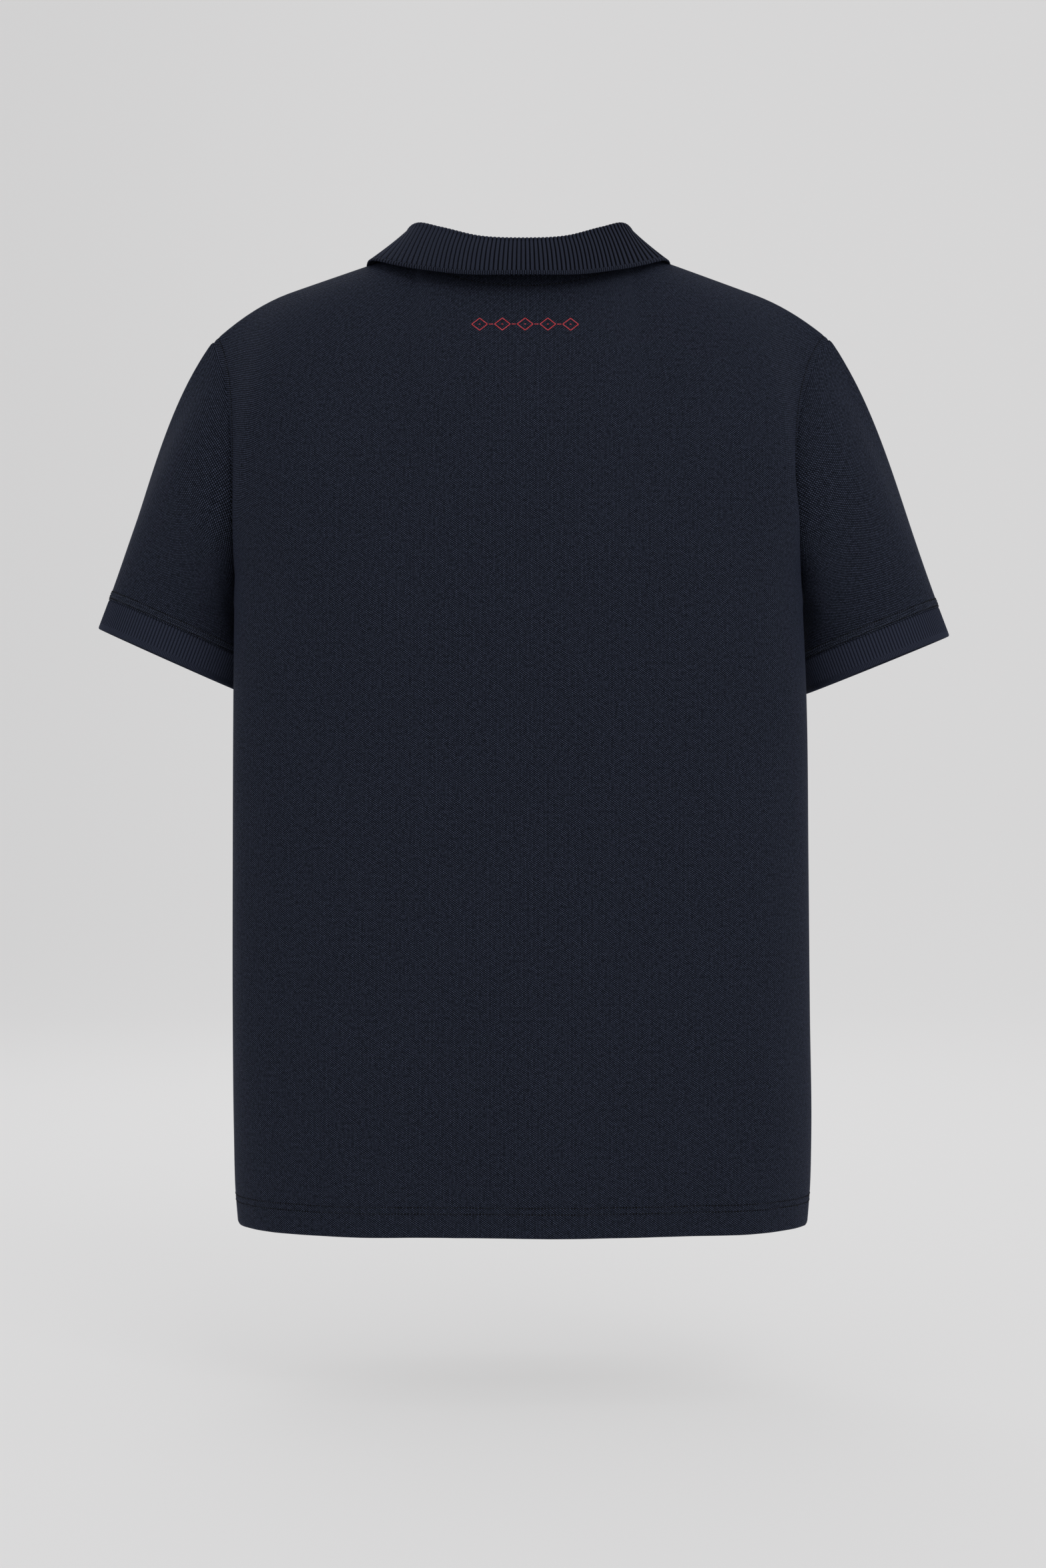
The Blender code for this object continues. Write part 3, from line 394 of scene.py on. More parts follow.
def sleeve_grid(side):
    """Rings of a sleeve from the armhole to the cuff seam, from the underarm round the front, outside and back."""
    steps = np.array(YOKE_STEPS)
    edge = np.array([float(side)])
    back = np.array([yoke_row("back", edge, t)[0] for t in steps])
    front = np.array([yoke_row("front", edge, t)[0] for t in steps])
    start = np.concatenate((front[::-1], back[1:]))
    turns = np.concatenate((1 - steps[::-1] / 2, steps[1:] / 2))
    end = cuff_ring(side, CUFF_DEPTH, turns)
    leave = start + smooth_table(LEAVE_ARMHOLE, turns) * (side, 1, 1)
    under = (0.5 - 0.5 * np.cos(2 * math.pi * turns))[:, None]
    run_in = sleeve_axis(side) * (REACH_CUFF_TOP + (REACH_CUFF_UNDER - REACH_CUFF_TOP) * under)
    run_in[:, :1] *= 1 - UNDERARM_TURN * under
    speed = 3 * np.linalg.norm(run_in, axis=1, keepdims=True)
    last = [1 - mm / 1000 / speed for mm in CUFF_MM]
    first = [np.full_like(speed, t) for t in CAP_STEPS]
    between = [first[-1] + (last[0] - first[-1]) * k / SLEEVE_ROWS for k in range(1, SLEEVE_ROWS)]
    return np.array([bezier(start, leave, end - run_in, end, t) for t in first + between + last])


def grid_normals(points, closed=False):
    """Unit normals of a grid, across its rows and columns; closed joins the last column to the first."""
    down = np.gradient(points, axis=0)
    if closed:
        ring = np.concatenate((points[:, -2:-1], points, points[:, 1:2]), axis=1)
        along = ring[:, 2:] - ring[:, :-2]
    else:
        along = np.gradient(points, axis=1)
    return unit(np.cross(along, down))


def new_grid(points, closed, centre):
    """A piece's middle surface: points, normals away from a centre given for each row, and mitres for its rims."""
    normals = grid_normals(points, closed)
    row, column = points.shape[0] // 2, points.shape[1] // 2
    normals *= np.sign(np.dot(normals[row, column], points[row, column] - centre(points[row])))
    return SimpleNamespace(points=points, normals=normals, mitres=normals.copy(), closed=closed)


def run_along(points, axis):
    """Lengths summed along an axis of the grid, from 0."""
    steps = np.linalg.norm(np.diff(points, axis=axis), axis=-1)
    shape = list(steps.shape)
    shape[axis] = 1
    return np.concatenate((np.zeros(shape), np.cumsum(steps, axis=axis)), axis=axis)


def rim_key(point):
    return tuple(np.round(np.asarray(point) * 1e6).astype(int))


def rim_cells(grid):
    rows, columns = grid.points.shape[:2]
    cells = [(i, j) for i in (0, rows - 1) for j in range(columns)]
    if not grid.closed:
        cells += [(i, j) for i in range(1, rows - 1) for j in (0, columns - 1)]
    return cells


def share_mitres(grids):
    """Gives the pieces that meet at a seam one mitre for each of its points."""
    shared = {}
    for grid in grids:
        twin = grid.points.shape[1] - 1 if grid.closed else None
        for place in rim_cells(grid):
            if place[1] != twin:
                key = rim_key(grid.points[place])
                shared[key] = shared.get(key, 0) + grid.normals[place]
    for grid in grids:
        for place in rim_cells(grid):
            grid.mitres[place] = unit(shared[rim_key(grid.points[place])])


# Rolls and dents of the cloth: depth and half width in metres
SEAM_ROLL = (0.0006, 0.0014)
ARMPIT_FILL = (0.0018, 0.0050)
ROW_DENT = (0.00025, 0.0009)
HEM_DENT = (0.00030, 0.0009)
HEM_RIDGE = (0.00015, 0.0010)
HEM_ROLL = (0.0007, 0.0010)
CUFF_DENT = (0.00035, 0.0008)
STRIP_ROLL = (0.00040, 0.0008)
STRIP_DENT = (0.00022, 0.0007)
CUFF_BAND = 0.00030
ARMHOLE_ROW = 0.0039
# Where the side seam fills out below the armpit: its height and half height
ARMPIT_SPAN = (-0.256, 0.010)
LEAST_SLANT = 0.6
# How much longer a crease runs out at its ends than at its sides
CREASE_ENDS = 1.8
# Gaps over which creases grow to their full depth beside the side seams, the top seams, the cap and the cuff
CREASE_SIDE = (0.004, 0.025)
CREASE_TOP = (0.006, 0.025)
CREASE_CAP = (0.005, 0.022)
CREASE_CUFF = (0.009, 0.030)
# The same for the hem's ripples: beside the side seams, and down to the hem
RIPPLE_SIDE = (0.004, 0.020)
RIPPLE_DOWN = (0.672, 0.700)
ARMHOLE_FROM = (-0.242, -0.236)


def dent(gap, size):
    return size[0] * bell(gap, size[1])


def crease_relief(name, u, v):
    relief = np.zeros(u.shape)
    for u0, v0, u1, v1, half_width, depth in np.array(CREASES[name]) / 1000:
        run = math.hypot(u1 - u0, v1 - v0)
        along = ((u - u0) * (u1 - u0) + (v - v0) * (v1 - v0)) / run
        off = ((u - u0) * (v1 - v0) - (v - v0) * (u1 - u0)) / run
        past = np.maximum(0.0, np.maximum(-along, along - run))
        relief += depth * bell(off, half_width) * bell(past, half_width * CREASE_ENDS)
    return relief


def panel_relief(face, points, u, v):
    """Creases, the roll of the seams and the stitched rows of a panel."""
    side_gap = np.abs(u[:, [0]]) * (u < 0) + u[:, [-1]] * (u >= 0) - np.abs(u)
    top_gap = v[0] - v
    shares = np.abs(panel_shares(face))[None, :]
    on_shoulder = ease(shares, NECK_SHARE[face] - 0.01, NECK_SHARE[face] + 0.01)
    z = points[:, :, 2]
    relief = crease_relief(face, u, v) * ease(side_gap, *CREASE_SIDE) * ease(top_gap, *CREASE_TOP)
    ripples = np.array(HEM_RIPPLES[face]) / 1000
    ripple = sum(depth * bell(u - across, width) for across, width, depth in ripples)
    relief += ripple * ease(-z, *RIPPLE_DOWN) * ease(side_gap, *RIPPLE_SIDE)
    armpit = bell(z - ARMPIT_SPAN[0], ARMPIT_SPAN[1])
    relief -= dent(side_gap, SEAM_ROLL) * (1 - armpit)
    relief += dent(side_gap, ARMPIT_FILL) * armpit
    relief -= dent(top_gap, SEAM_ROLL) * on_shoulder
    armhole = ease(z, *ARMHOLE_FROM)
    relief -= dent(side_gap - ARMHOLE_ROW, ROW_DENT) * armhole
    stitched = top_gap[YOKE_STEPS.index(NECK_STITCH)]
    relief -= dent(top_gap - stitched, ROW_DENT) * (1 - on_shoulder)
    for row in HEM_ROWS:
        relief -= dent(z - row, HEM_DENT)
    return relief + dent(z - sum(HEM_ROWS) / 2, HEM_RIDGE) - dent(z - HEM_Z, HEM_ROLL)


def cloth_thickness(points):
    hem = ease(-points[..., 2], -HEM_Z - HEM_DEPTH - 0.001, -HEM_Z - HEM_DEPTH + 0.001)
    return CLOTH + (HEM_CLOTH - CLOTH) * hem


def sleeve_relief(name, u, v):
    """Creases, the roll at the armhole and the raised band over the cuff of a sleeve."""
    cap_gap = v[0] - v
    relief = crease_relief(name, u, v) * ease(cap_gap, *CREASE_CAP) * ease(v, *CREASE_CUFF)
    relief -= dent(cap_gap, SEAM_ROLL)
    relief += CUFF_BAND * (1 - ease(v, CUFF_ROWS[1], CUFF_ROWS[1] + 0.0016))
    for row in CUFF_ROWS:
        relief -= dent(v - row, CUFF_DENT)
    return relief


def draw_back(grid, rims):
    """The grid's points with its seam rims moved a hair into the cloth, within the seam's own plane."""
    points, mitres = grid.points, grid.mitres
    into = np.zeros_like(points)
    for end, near in ((0, 1), (-1, -2)):
        if end in rims:
            into[end] += unit(points[near] - points[end])
        if not grid.closed:
            into[:, end] += unit(points[:, near] - points[:, end])
    step = into - mitres * np.sum(mitres * into, axis=2, keepdims=True)
    return points + unit(step) * SEAM_GAP


def cloth_walls(grid, relief, inner_relief, rims):
    """The two surfaces of a piece of cloth: its middle surface raised by relief, and its thickness below."""
    mitres = grid.mitres
    base = draw_back(grid, rims)
    slant = np.maximum(LEAST_SLANT, np.sum(mitres * grid.normals, axis=2))
    outer = base + mitres * relief[:, :, None]
    inner = base + mitres * (inner_relief - cloth_thickness(outer) / slant)[:, :, None]
    if grid.closed:
        for points in (outer, inner):
            points[:, -1] = points[:, 0]
    grid.outer = outer
    return outer, inner


def link(name, data):
    thing = bpy.data.objects.new(name, data)
    bpy.context.scene.collection.objects.link(thing)
    return thing


def new_mesh(name, bm, material):
    mesh = bpy.data.meshes.new(name)
    bm.to_mesh(mesh)
    bm.free()
    mesh.materials.append(material)
    mesh.shade_smooth()
    return mesh


def new_thread(name, bm, material=None):
    piece = link(name, new_mesh(name, bm, material or NAVY_THREAD_AND_SHADE))
    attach(piece, "root")
    return piece


def new_piece(name, bm, material):
    piece = new_thread(name, bm, material)
    piece.data.set_sharp_from_angle(angle=SHARP)
    return piece


def lay_grid(bm, flat, points, u, v, opening=None):
    """A grid of faces at the points, with its flat place in metres as UV; opening says which corners are left out."""
    rows, columns = points.shape[:2]
    verts = bmesh.ops.create_grid(bm, x_segments=columns - 1, y_segments=rows - 1, size=1.0)["verts"]
    place = {}
    for k, vert in enumerate(verts):
        place[vert] = divmod(k, columns)
        vert.co = points[place[vert]]
    faces = list({face for vert in verts for face in vert.link_faces})
    for face in faces:
        for loop in face.loops:
            loop[flat].uv = (u[place[loop.vert]], v[place[loop.vert]])
    if opening:
        gone = [face for face in faces if all(opening(*place[vert]) for vert in face.verts)]
        bmesh.ops.delete(bm, geom=gone, context="FACES")


def shell(outer, inner, u, v, closed=False, opening=None):
    """A cloth wall between two grids of points."""
    bm = bmesh.new()
    flat = bm.loops.layers.uv.new("UVMap")
    if closed:
        wrapped = [np.concatenate((outer, inner[::-1], outer[:1]))]
        wrapped += [np.concatenate((place, place[::-1], place[:1])) for place in (u, v)]
        lay_grid(bm, flat, *wrapped)
        bmesh.ops.remove_doubles(bm, verts=bm.verts, dist=HAIR)
    else:
        lay_grid(bm, flat, outer, u, v, opening)
        lay_grid(bm, flat, inner, u, v, opening)
        rims = [edge for edge in bm.edges if edge.is_boundary]
        rim_faces = set(bmesh.ops.bridge_loops(bm, edges=rims)["faces"])
        for face in rim_faces:
            for loop in face.loops:
                other = loop.link_loop_radial_next
                if other.face not in rim_faces:
                    loop[flat].uv = other.link_loop_next[flat].uv
                    loop.link_loop_next[flat].uv = other[flat].uv
    bmesh.ops.recalc_face_normals(bm, faces=bm.faces)
    return bm


def lay_flat(points, axis, column, row):
    """A piece's flat place: across from a column, with the run along the axis left out, and up from a row."""
    level = points - np.sum(points * axis, axis=2, keepdims=True) * axis
    across, down = run_along(level, 1), run_along(points, 0)
    return across - across[:, [column]], down[row] - down


# Rib knits: the depth of the grooves on the outer and inner face, then where the welt ends, where the ribs are full and
# how much of the grooves is left on the welt
COLLAR_GROOVES = (0.00060, 0.00050)
COLLAR_WELT = (0.0030, 0.0042, 0.30)
CUFF_GROOVES = (0.00050, 0.00045)
CUFF_WELT = (0.0030, 0.0054, 0.16)
GROOVE_WIDTH = 0.15
# Rolls of their edges: depth and half width, with the place of the line at the top of the collar's welt
COLLAR_EDGE = (0.00055, 0.0006)
COLLAR_LINE = (0.00030, 0.0005)
COLLAR_LINE_GAP = 0.0033
CUFF_EDGE = (0.0006, 0.0006)
CUFF_TOP = (0.0003, 0.0009)
RIB_SAMPLES = 8
CUFF_STEPS = (0.0228, 0.0222, 0.0214, 0.0200, 0.0165, 0.0130, 0.0095, 0.0065, 0.0052, 0.0044, 0.0036, 0.0026)
CUFF_STEPS += (0.0016, 0.0008, 0.0003, 0.0)


def rib_grooves(phase, gap, depths, welt):
    """How deep the grooves of a rib knit lie on its outer and inner face, at a gap from its free edge."""
    start, full, left = welt
    fade = left + (1 - left) * ease(gap, start, full)
    turns = (phase, phase + 0.5)
    return [depth * fade * bell(turn % 1.0 - 0.5, GROOVE_WIDTH) for depth, turn in zip(depths, turns)]


def make_cuff(name, side):
    """A rib-knit band below the sleeve, with a plain welt at its lower edge."""
    perimeter = math.pi * (CUFF_HALF_WIDTH + CUFF_HALF_DEPTH)
    ribs = CUFF_BACKING * round(perimeter / CUFF_RIB * 2 / CUFF_BACKING) // 2
    phase = np.arange(ribs * RIB_SAMPLES + 1) / RIB_SAMPLES
    rings = np.array([cuff_ring(side, height, phase / ribs) for height in CUFF_STEPS])
    out = unit(rings - rings[:, :-1].mean(axis=1, keepdims=True))
    height = np.array(CUFF_STEPS)[:, None]
    edge = dent(height, CUFF_EDGE) + dent(height - CUFF_DEPTH, CUFF_TOP)
    front, back = rib_grooves(phase, height, CUFF_GROOVES, CUFF_WELT)
    outer, inner = (rings - out * depth[:, :, None] for depth in (edge + front, RIB_CLOTH - edge - back))
    u, v = (np.broadcast_to(place, front.shape) for place in (phase * CUFF_RIB, height))
    return new_piece(name, shell(outer, inner, u, v, closed=True), CUFF_KNIT)


def neck_edge(panels):
    """The half neck seam on the wearer's left, from the back: its places, points, mitres, rise and slant."""
    sides = []
    for face in ("back", "front"):
        grid = panels[face]
        turns = np.append(NECK_TURNS[face], 1.0)
        middle = grid.points.shape[1] // 2
        span = slice(middle, middle + len(turns))
        places = np.interp(turns, NECK_COLUMNS[face], range(len(NECK_COLUMNS[face])))
        sides.append((places, grid.points[0, span], grid.mitres[0, span]))
    whole = sides[0][0][-1] + sides[1][0][-1]
    places = np.concatenate((sides[0][0], whole - sides[1][0][-2::-1]))
    points, normals = (np.concatenate((sides[0][k], sides[1][k][-2::-1])) for k in (1, 2))
    fold = smooth_half(FOLD_LINE, places / whole)
    along = unit(np.gradient(points, places, axis=0))
    out = unit(np.cross(fold - points, along))
    out *= np.sign(out[0, 1])
    mitres = unit(out + normals)
    rise = np.cross(mitres, along)
    rise *= np.sign(rise[:, 2:])
    for face, found in (("back", mitres), ("front", mitres[::-1])):
        grid = panels[face]
        middle = grid.points.shape[1] // 2
        for j in range(len(NECK_TURNS[face]) + 1):
            grid.mitres[0, middle + j] = found[j]
            grid.mitres[0, middle - j] = found[j] * (-1, 1, 1)
    return places, points, mitres, rise, np.sum(mitres * out, axis=1, keepdims=True)


def at_places(places, values, wanted):
    return np.stack([np.interp(wanted, places, values[:, axis]) for axis in range(values.shape[1])], axis=1)


def rest_over(tree, points, lifts):
    """The points of a half edge moved smoothly to their own heights over the panels."""
    moves = []
    for p, lift in zip(points, lifts):
        hit, normal, _, _ = tree.find_nearest(Vector(p))
        away = (Vector(p) - hit).normalized()
        away *= 1 if away.dot(normal) > 0 else -1
        moves.append(np.array(hit + away * lift) - p)
    moves = np.array(moves)
    for _ in range(REST_SMOOTHING):
        near = np.concatenate((moves[1:2] * (-1, 1, 1), moves, moves[-1:]))
        moves = (near[:-2] + 2 * moves + near[2:]) / 4
    return points + moves


COLLAR_STAND = (0.0, 0.15, 0.3, 0.45, 0.6, 0.8, 1.0)
COLLAR_FOLD = (30, 60, 90, 120, 150)
COLLAR_FOOT_RISE = 0.0003
LEAF_ROWS = 18
LEAF_LEAN = 0.45
WELT_MM = (6.5, 5.2, 4.3, 3.8, 3.4, 3.1, 2.8, 2.4, 1.8, 1.2, 0.7, 0.3, 0.0)


def make_collar(edge, tree):
    """The stand, fold and leaf in one strip, ribbed on both sides, with a welt along its free edge."""
    places, seam, mitres, rise, slant = edge
    fold = smooth_half(FOLD_LINE, np.linspace(0.0, 1.0, 200))
    length = 2 * np.sum(np.linalg.norm(np.diff(fold, axis=0), axis=1))
    half_count = COLLAR_BACKING * round(length / 2 / COLLAR_RIB * 2 / COLLAR_BACKING)
    shares = np.linspace(0.0, 1.0, half_count + 1)
    fold = smooth_half(FOLD_LINE, shares)
    whole = places[-1]
    neck_point = len(NECK_COLUMNS["back"]) - 1
    neck_column = COLLAR_BACKING * round(neck_point / whole * half_count / COLLAR_BACKING)
    first_turn = NECK_COLUMNS["front"][1]
    seam_end = whole - fold[-1, 0] / neck_seam("front", first_turn)[0]
    wanted = np.interp(shares * half_count, (0, neck_column, half_count), (0.0, neck_point, seam_end))
    start = at_places(places, seam, wanted)
    start_mitre = at_places(places, mitres / slant, wanted)
    start_rise = at_places(places, rise, wanted)
    leaf_table = smooth_half(LEAF_EDGE, shares)
    leaf = rest_over(tree, leaf_table[:, :3], leaf_table[:, 3])
    out = unit(np.cross(UP, np.gradient(fold, axis=0)) * (1, 1, 0))
    out *= np.sign(np.sum(out * (fold + (0, 0.02, 0)), axis=1, keepdims=True))
    centre = fold - UP * FOLD_RADIUS
    foot = start - start_mitre * CLOTH / 2 + start_rise * COLLAR_FOOT_RISE
    inside, outside = centre - out * FOLD_RADIUS, centre + out * FOLD_RADIUS
    rows = [foot * (1 - s) + inside * s for s in COLLAR_STAND]
    for angle in COLLAR_FOLD:
        turn = math.radians(angle)
        rows.append(centre + (UP * math.sin(turn) - out * math.cos(turn)) * FOLD_RADIUS)
    bulge = smooth_table(LEAF_BULGE, shares)
    control = outside + (leaf - outside) * LEAF_LEAN + (out + UP) * bulge / 2
    speed = 2 * np.linalg.norm(leaf - control, axis=1, keepdims=True)
    last = [1 - mm / 1000 / speed for mm in WELT_MM]
    for s in [last[0] * k / LEAF_ROWS for k in range(LEAF_ROWS)] + last:
        rows.append((1 - s) ** 2 * outside + 2 * s * (1 - s) * control + s * s * leaf)
    half = np.array(rows)
    other = half * (-1, 1, 1)
    other[1:, :, 0] *= smooth_table(COLLAR_RIGHT, shares)[:, 0]
    coarse = np.concatenate((other[:, :0:-1], half), axis=1)
    columns = np.arange(coarse.shape[1])
    fine = np.linspace(0, columns[-1], columns[-1] * RIB_SAMPLES // 2 + 1)
    middle = np.array([smooth_table(np.column_stack((columns, row)), fine) for row in coarse])
    normals = grid_normals(middle)
    normals *= np.sign(normals[-1, len(fine) // 2, 1])
    foot_mitres = np.concatenate((start_mitre[:0:-1] * (-1, 1, 1), start_mitre))
    normals[0] = -smooth_table(np.column_stack((columns, foot_mitres)), fine)
    run = run_along(middle, 0)
    gap = run[-1] - run
    phase = fine / 2
    half_cloth = RIB_CLOTH / 2 - dent(gap, COLLAR_EDGE) - dent(gap - COLLAR_LINE_GAP, COLLAR_LINE)
    grooves = (ease(run, 0.0, 0.003) * groove for groove in rib_grooves(phase, gap, COLLAR_GROOVES, COLLAR_WELT))
    front, back = (half_cloth - groove for groove in grooves)
    outer, inner = middle + normals * front[:, :, None], middle - normals * back[:, :, None]
    u = np.broadcast_to(phase * COLLAR_RIB, gap.shape)
    return new_piece("collar_knit", shell(outer, inner, u, gap), COLLAR_KNIT)


# Columns of a placket strip in from its edges and out from its middle, and how far its top stands off the neck seam
STRIP_GAPS = (0.0030, 0.0020, 0.0010, 0.0004, 0.0)
STRIP_COLUMNS = np.array((0.0, 0.003, 0.006, 0.009, 0.012, *(PLACKET_HALF_WIDTH - gap for gap in STRIP_GAPS)))
STRIP_TOP = 0.0003


def make_strip(name, front, lift):
    """A placket strip: the front's own skin on a straight band, moved out or in by lift."""
    rows = [i for i, t in enumerate(YOKE_STEPS) if t <= PLACKET_FOOT + HAIR]
    across = np.concatenate((-STRIP_COLUMNS[:0:-1], STRIP_COLUMNS))
    middle = front.shape[1] // 2
    near = slice(middle - len(NECK_TURNS["front"]) + 2, middle + len(NECK_TURNS["front"]) - 1)
    points = []
    for i in rows:
        row = front[i, near]
        points.append(np.stack([across] + [np.interp(across, row[:, 0], row[:, k]) for k in (1, 2)], axis=1))
    points = np.array(points)
    normals = grid_normals(points)
    normals *= -np.sign(normals[0, 0, 1])
    side_gap = (PLACKET_HALF_WIDTH - np.abs(across))[None, :]
    down = run_along(points, 0)
    foot_gap = down[-1] - down
    relief = -dent(side_gap, STRIP_ROLL) - dent(foot_gap, STRIP_ROLL) - dent(side_gap - STRIP_ROW, STRIP_DENT)
    raised = points + normals * (lift + CLOTH + relief)[:, :, None]
    raised[0] += unit(raised[1] - raised[0]) * STRIP_TOP
    inner = raised - normals * (CLOTH + relief)[:, :, None]
    u = np.broadcast_to(across, down.shape)
    return new_piece(name, shell(raised, inner, -u, -down), PIQUE), (raised, normals, across)


def stitch_bead():
    """A small closed bead, drawn out into each stitch."""
    bm = bmesh.new()
    bmesh.ops.create_uvsphere(bm, u_segments=6, v_segments=4, radius=1.0)
    bead = bpy.data.meshes.new("bead")
    bm.to_mesh(bead)
    bm.free()
    round_it = np.empty(len(bead.vertices) * 3)
    bead.vertices.foreach_get("co", round_it)
    return bead, round_it.reshape(-1, 3)


BEAD, BEAD_POINTS = stitch_bead()


def add_stitch(bm, point, along, out, length, width, height):
    across = unit(np.cross(out, along))
    shape = np.array((along * length / 2, across * width / 2, out * height / 2))
    BEAD.vertices.foreach_set("co", (BEAD_POINTS @ shape + point).ravel())
    bm.from_mesh(BEAD)


def even_places(path, normals, pitch):
    """Places at an even pitch along a path, with the way it runs and the way out of the cloth."""
    run = run_along(path, 0)
    count = max(2, round(run[-1] / pitch))
    at = (np.arange(count) + 0.5) * run[-1] / count
    points, outs = at_places(run, path, at), unit(at_places(run, normals, at))
    return points, unit(np.gradient(points, axis=0)), outs


# A row's stitches: their width and height, and how far their middle stands off the cloth
ROW_THICK = (0.0009, 0.0009)
ROW_LIFT = 0.00012


def sew_rows(name, paths, pitch=0.0023, length=0.0013):
    """One piece of thread with a row of stitches along each path over its cloth."""
    bm = bmesh.new()
    for path, normals in paths:
        for point, along, out in zip(*even_places(path, normals, pitch)):
            add_stitch(bm, point + out * ROW_LIFT, along, out, length, *ROW_THICK)
    return new_thread(name, bm)


# Materials.


class Recipe:
    """A material's nodes, joined with short calls."""

    def __init__(self, name, colour, roughness, sheen=0.0, sheen_tint=(1, 1, 1), gloss=0.06):
        self.material = bpy.data.materials.new(name)
        self.material.use_nodes = True
        self.tree = self.material.node_tree
        self.shader = self.tree.nodes["Principled BSDF"]
        self.shade("Base Color", (*colour, 1.0))
        self.shade("Roughness", roughness)
        self.shade("Sheen Weight", sheen)
        self.shade("Sheen Roughness", 0.45)
        self.shade("Sheen Tint", (*sheen_tint, 1.0))
        self.shade("Specular IOR Level", gloss)

    def put(self, socket, value):
        if isinstance(value, bpy.types.NodeSocket):
            self.tree.links.new(value, socket)
        else:
            socket.default_value = value

    def shade(self, name, value):
        self.put(self.shader.inputs[name], value)

    def node(self, kind, **inputs):
        node = self.tree.nodes.new(f"ShaderNode{kind}")
        for name, value in inputs.items():
            self.put(node.inputs[name.replace("_", " ")], value)
        return node

    def math(self, operation, *values):
        node = self.node("Math")
        node.operation = operation
        for socket, value in zip(node.inputs, values):
            self.put(socket, value)
        return node.outputs[0]

    def times(self, value, factor, offset=0.0):
        return self.math("MULTIPLY_ADD", value, factor, offset)

    def ramp(self, value, low, high):
        """0 below low and 1 above high, smoothly."""
        node = self.node("MapRange", Value=value, From_Min=low, From_Max=high)
        node.interpolation_type = "SMOOTHSTEP"
        return node.outputs["Result"]

    def places(self, source="UV"):
        """The surface's own coordinates, whole and in their first two parts."""
        where = self.node("TexCoord").outputs[source]
        parts = self.node("SeparateXYZ", Vector=where)
        return where, parts.outputs[0], parts.outputs[1]

    def noise(self, vector, scale, detail=2.0):
        return self.node("TexNoise", Vector=vector, Scale=scale, Detail=detail).outputs["Fac"]

    def from_middle(self, value):
        """How far a value that runs from 0 to 1 is from its middle, on either side."""
        return self.math("ABSOLUTE", self.math("SUBTRACT", value, 0.5))

    def mix(self, share, first, second):
        node = self.node("Mix")
        node.data_type = "RGBA"
        self.put(node.inputs["Factor"], share)
        for socket, value in ((node.inputs[6], first), (node.inputs[7], second)):
            self.put(socket, (*value, 1.0))
        return node.outputs[2]

    def finish(self, colour, height, distance, strength):
        """The material with its colour and a bump."""
        bump = self.node("Bump", Height=height, Distance=distance, Strength=strength)
        self.shade("Base Color", colour)
        self.shade("Normal", bump.outputs["Normal"])
        return self.material


# The darker colour is painted shade for the hollows of the weave; the lighter one is the yarn of the raised dashes.
HOLLOW_SHADE = (0.0014, 0.0020, 0.0036)
DASH = (0.0665, 0.0795, 0.1270)
# the weave's two slanting sets of rows: how many a metre lie across and up the piece; the third is their difference
SLANTS = ((452.0, -684.0), (-554.0, -685.0))
SLANT_SHARES = (0.48, 0.28, 0.24)
SHEEN = {"sheen": 0.03, "sheen_tint": (0.40, 0.50, 0.95)}
LOOP_HEIGHT = 0.0011
# How fine the noises are, in turns a metre: the cloth's slow clouds, the bend of each set of rows, the yarn, its spots
CLOUDS = 16.0
BENDS = (90.0, 130.0)
YARN = 1400.0
SPOTS = 420.0
RIB_YARN = 1500.0
TWIST = 2600.0


def pique(name):
    """Pique: small dashes raised in slanting rows, with painted shade in the hollows between them."""
    cloth = Recipe(name, HOLLOW_SHADE, 0.85, **SHEEN)
    flat, u, v = cloth.places()
    slower = cloth.math("SUBTRACT", cloth.noise(flat, CLOUDS), 0.5)
    rows = []
    for (across, up), close in zip(SLANTS, BENDS):
        drift = cloth.times(cloth.math("SUBTRACT", cloth.noise(flat, close, 4.0), 0.5), 0.9)
        rows.append(cloth.times(u, across, cloth.times(v, up, cloth.times(slower, 2.0, drift))))
    rows.append(cloth.math("SUBTRACT", rows[1], rows[0]))
    height = 0.0
    for row, share in zip(rows, SLANT_SHARES):
        height = cloth.times(cloth.math("COSINE", cloth.times(row, 2 * math.pi)), share, height)
    dash = cloth.ramp(height, -0.35, 0.85)
    yarn = cloth.noise(flat, YARN)
    uneven = cloth.noise(flat, SPOTS, 3.0)
    share = cloth.times(dash, cloth.times(yarn, 2.0, -0.25))
    share = cloth.times(slower, 0.03, cloth.times(share, cloth.times(uneven, 2.2, -0.10)))
    # The mix puts the painted shade of the hollows between the dashes.
    return cloth.finish(cloth.mix(share, HOLLOW_SHADE, DASH), cloth.times(yarn, 0.35, dash), 0.00025, 0.6)


def rib_knit(name, pitch, welt, groove_shade, back):
    """Rib knit: a column of small V stitches up each rib and a plain welt with fine teeth, with painted shade in the
    grooves, between the teeth and between the loops.
    """
    knit = Recipe(name, back, 0.85, **SHEEN)
    flat, x, y = knit.places()
    yarn = knit.noise(flat, RIB_YARN, 3.0)
    column = knit.times(yarn, 0.16, knit.math("DIVIDE", x, pitch))
    place = knit.from_middle(knit.math("FRACT", column))
    rib = knit.ramp(place, 0.08, 0.26)
    tooth = knit.ramp(knit.from_middle(knit.math("FRACT", knit.times(column, 2.0))), 0.06, 0.34)
    above = knit.ramp(y, welt - 0.0005, welt + 0.0005)
    ribs = knit.times(above, knit.math("SUBTRACT", rib, tooth), tooth)
    leg = knit.times(place, -1.6, knit.math("DIVIDE", y, LOOP_HEIGHT))
    loops = knit.times(knit.math("SINE", knit.times(leg, 2 * math.pi)), 0.5, 0.5)
    share = knit.times(ribs, knit.times(loops, 0.60, 0.40))
    share = knit.times(share, knit.times(yarn, 1.4, 0.30))
    height = knit.times(yarn, 0.4, knit.times(loops, ribs))
    # The first colour is painted shade, mixed in where the grooves, the gaps between the teeth and the gaps between the
    # loops lie.
    return knit.finish(knit.mix(share, groove_shade, back), height, 0.00022, 0.7)


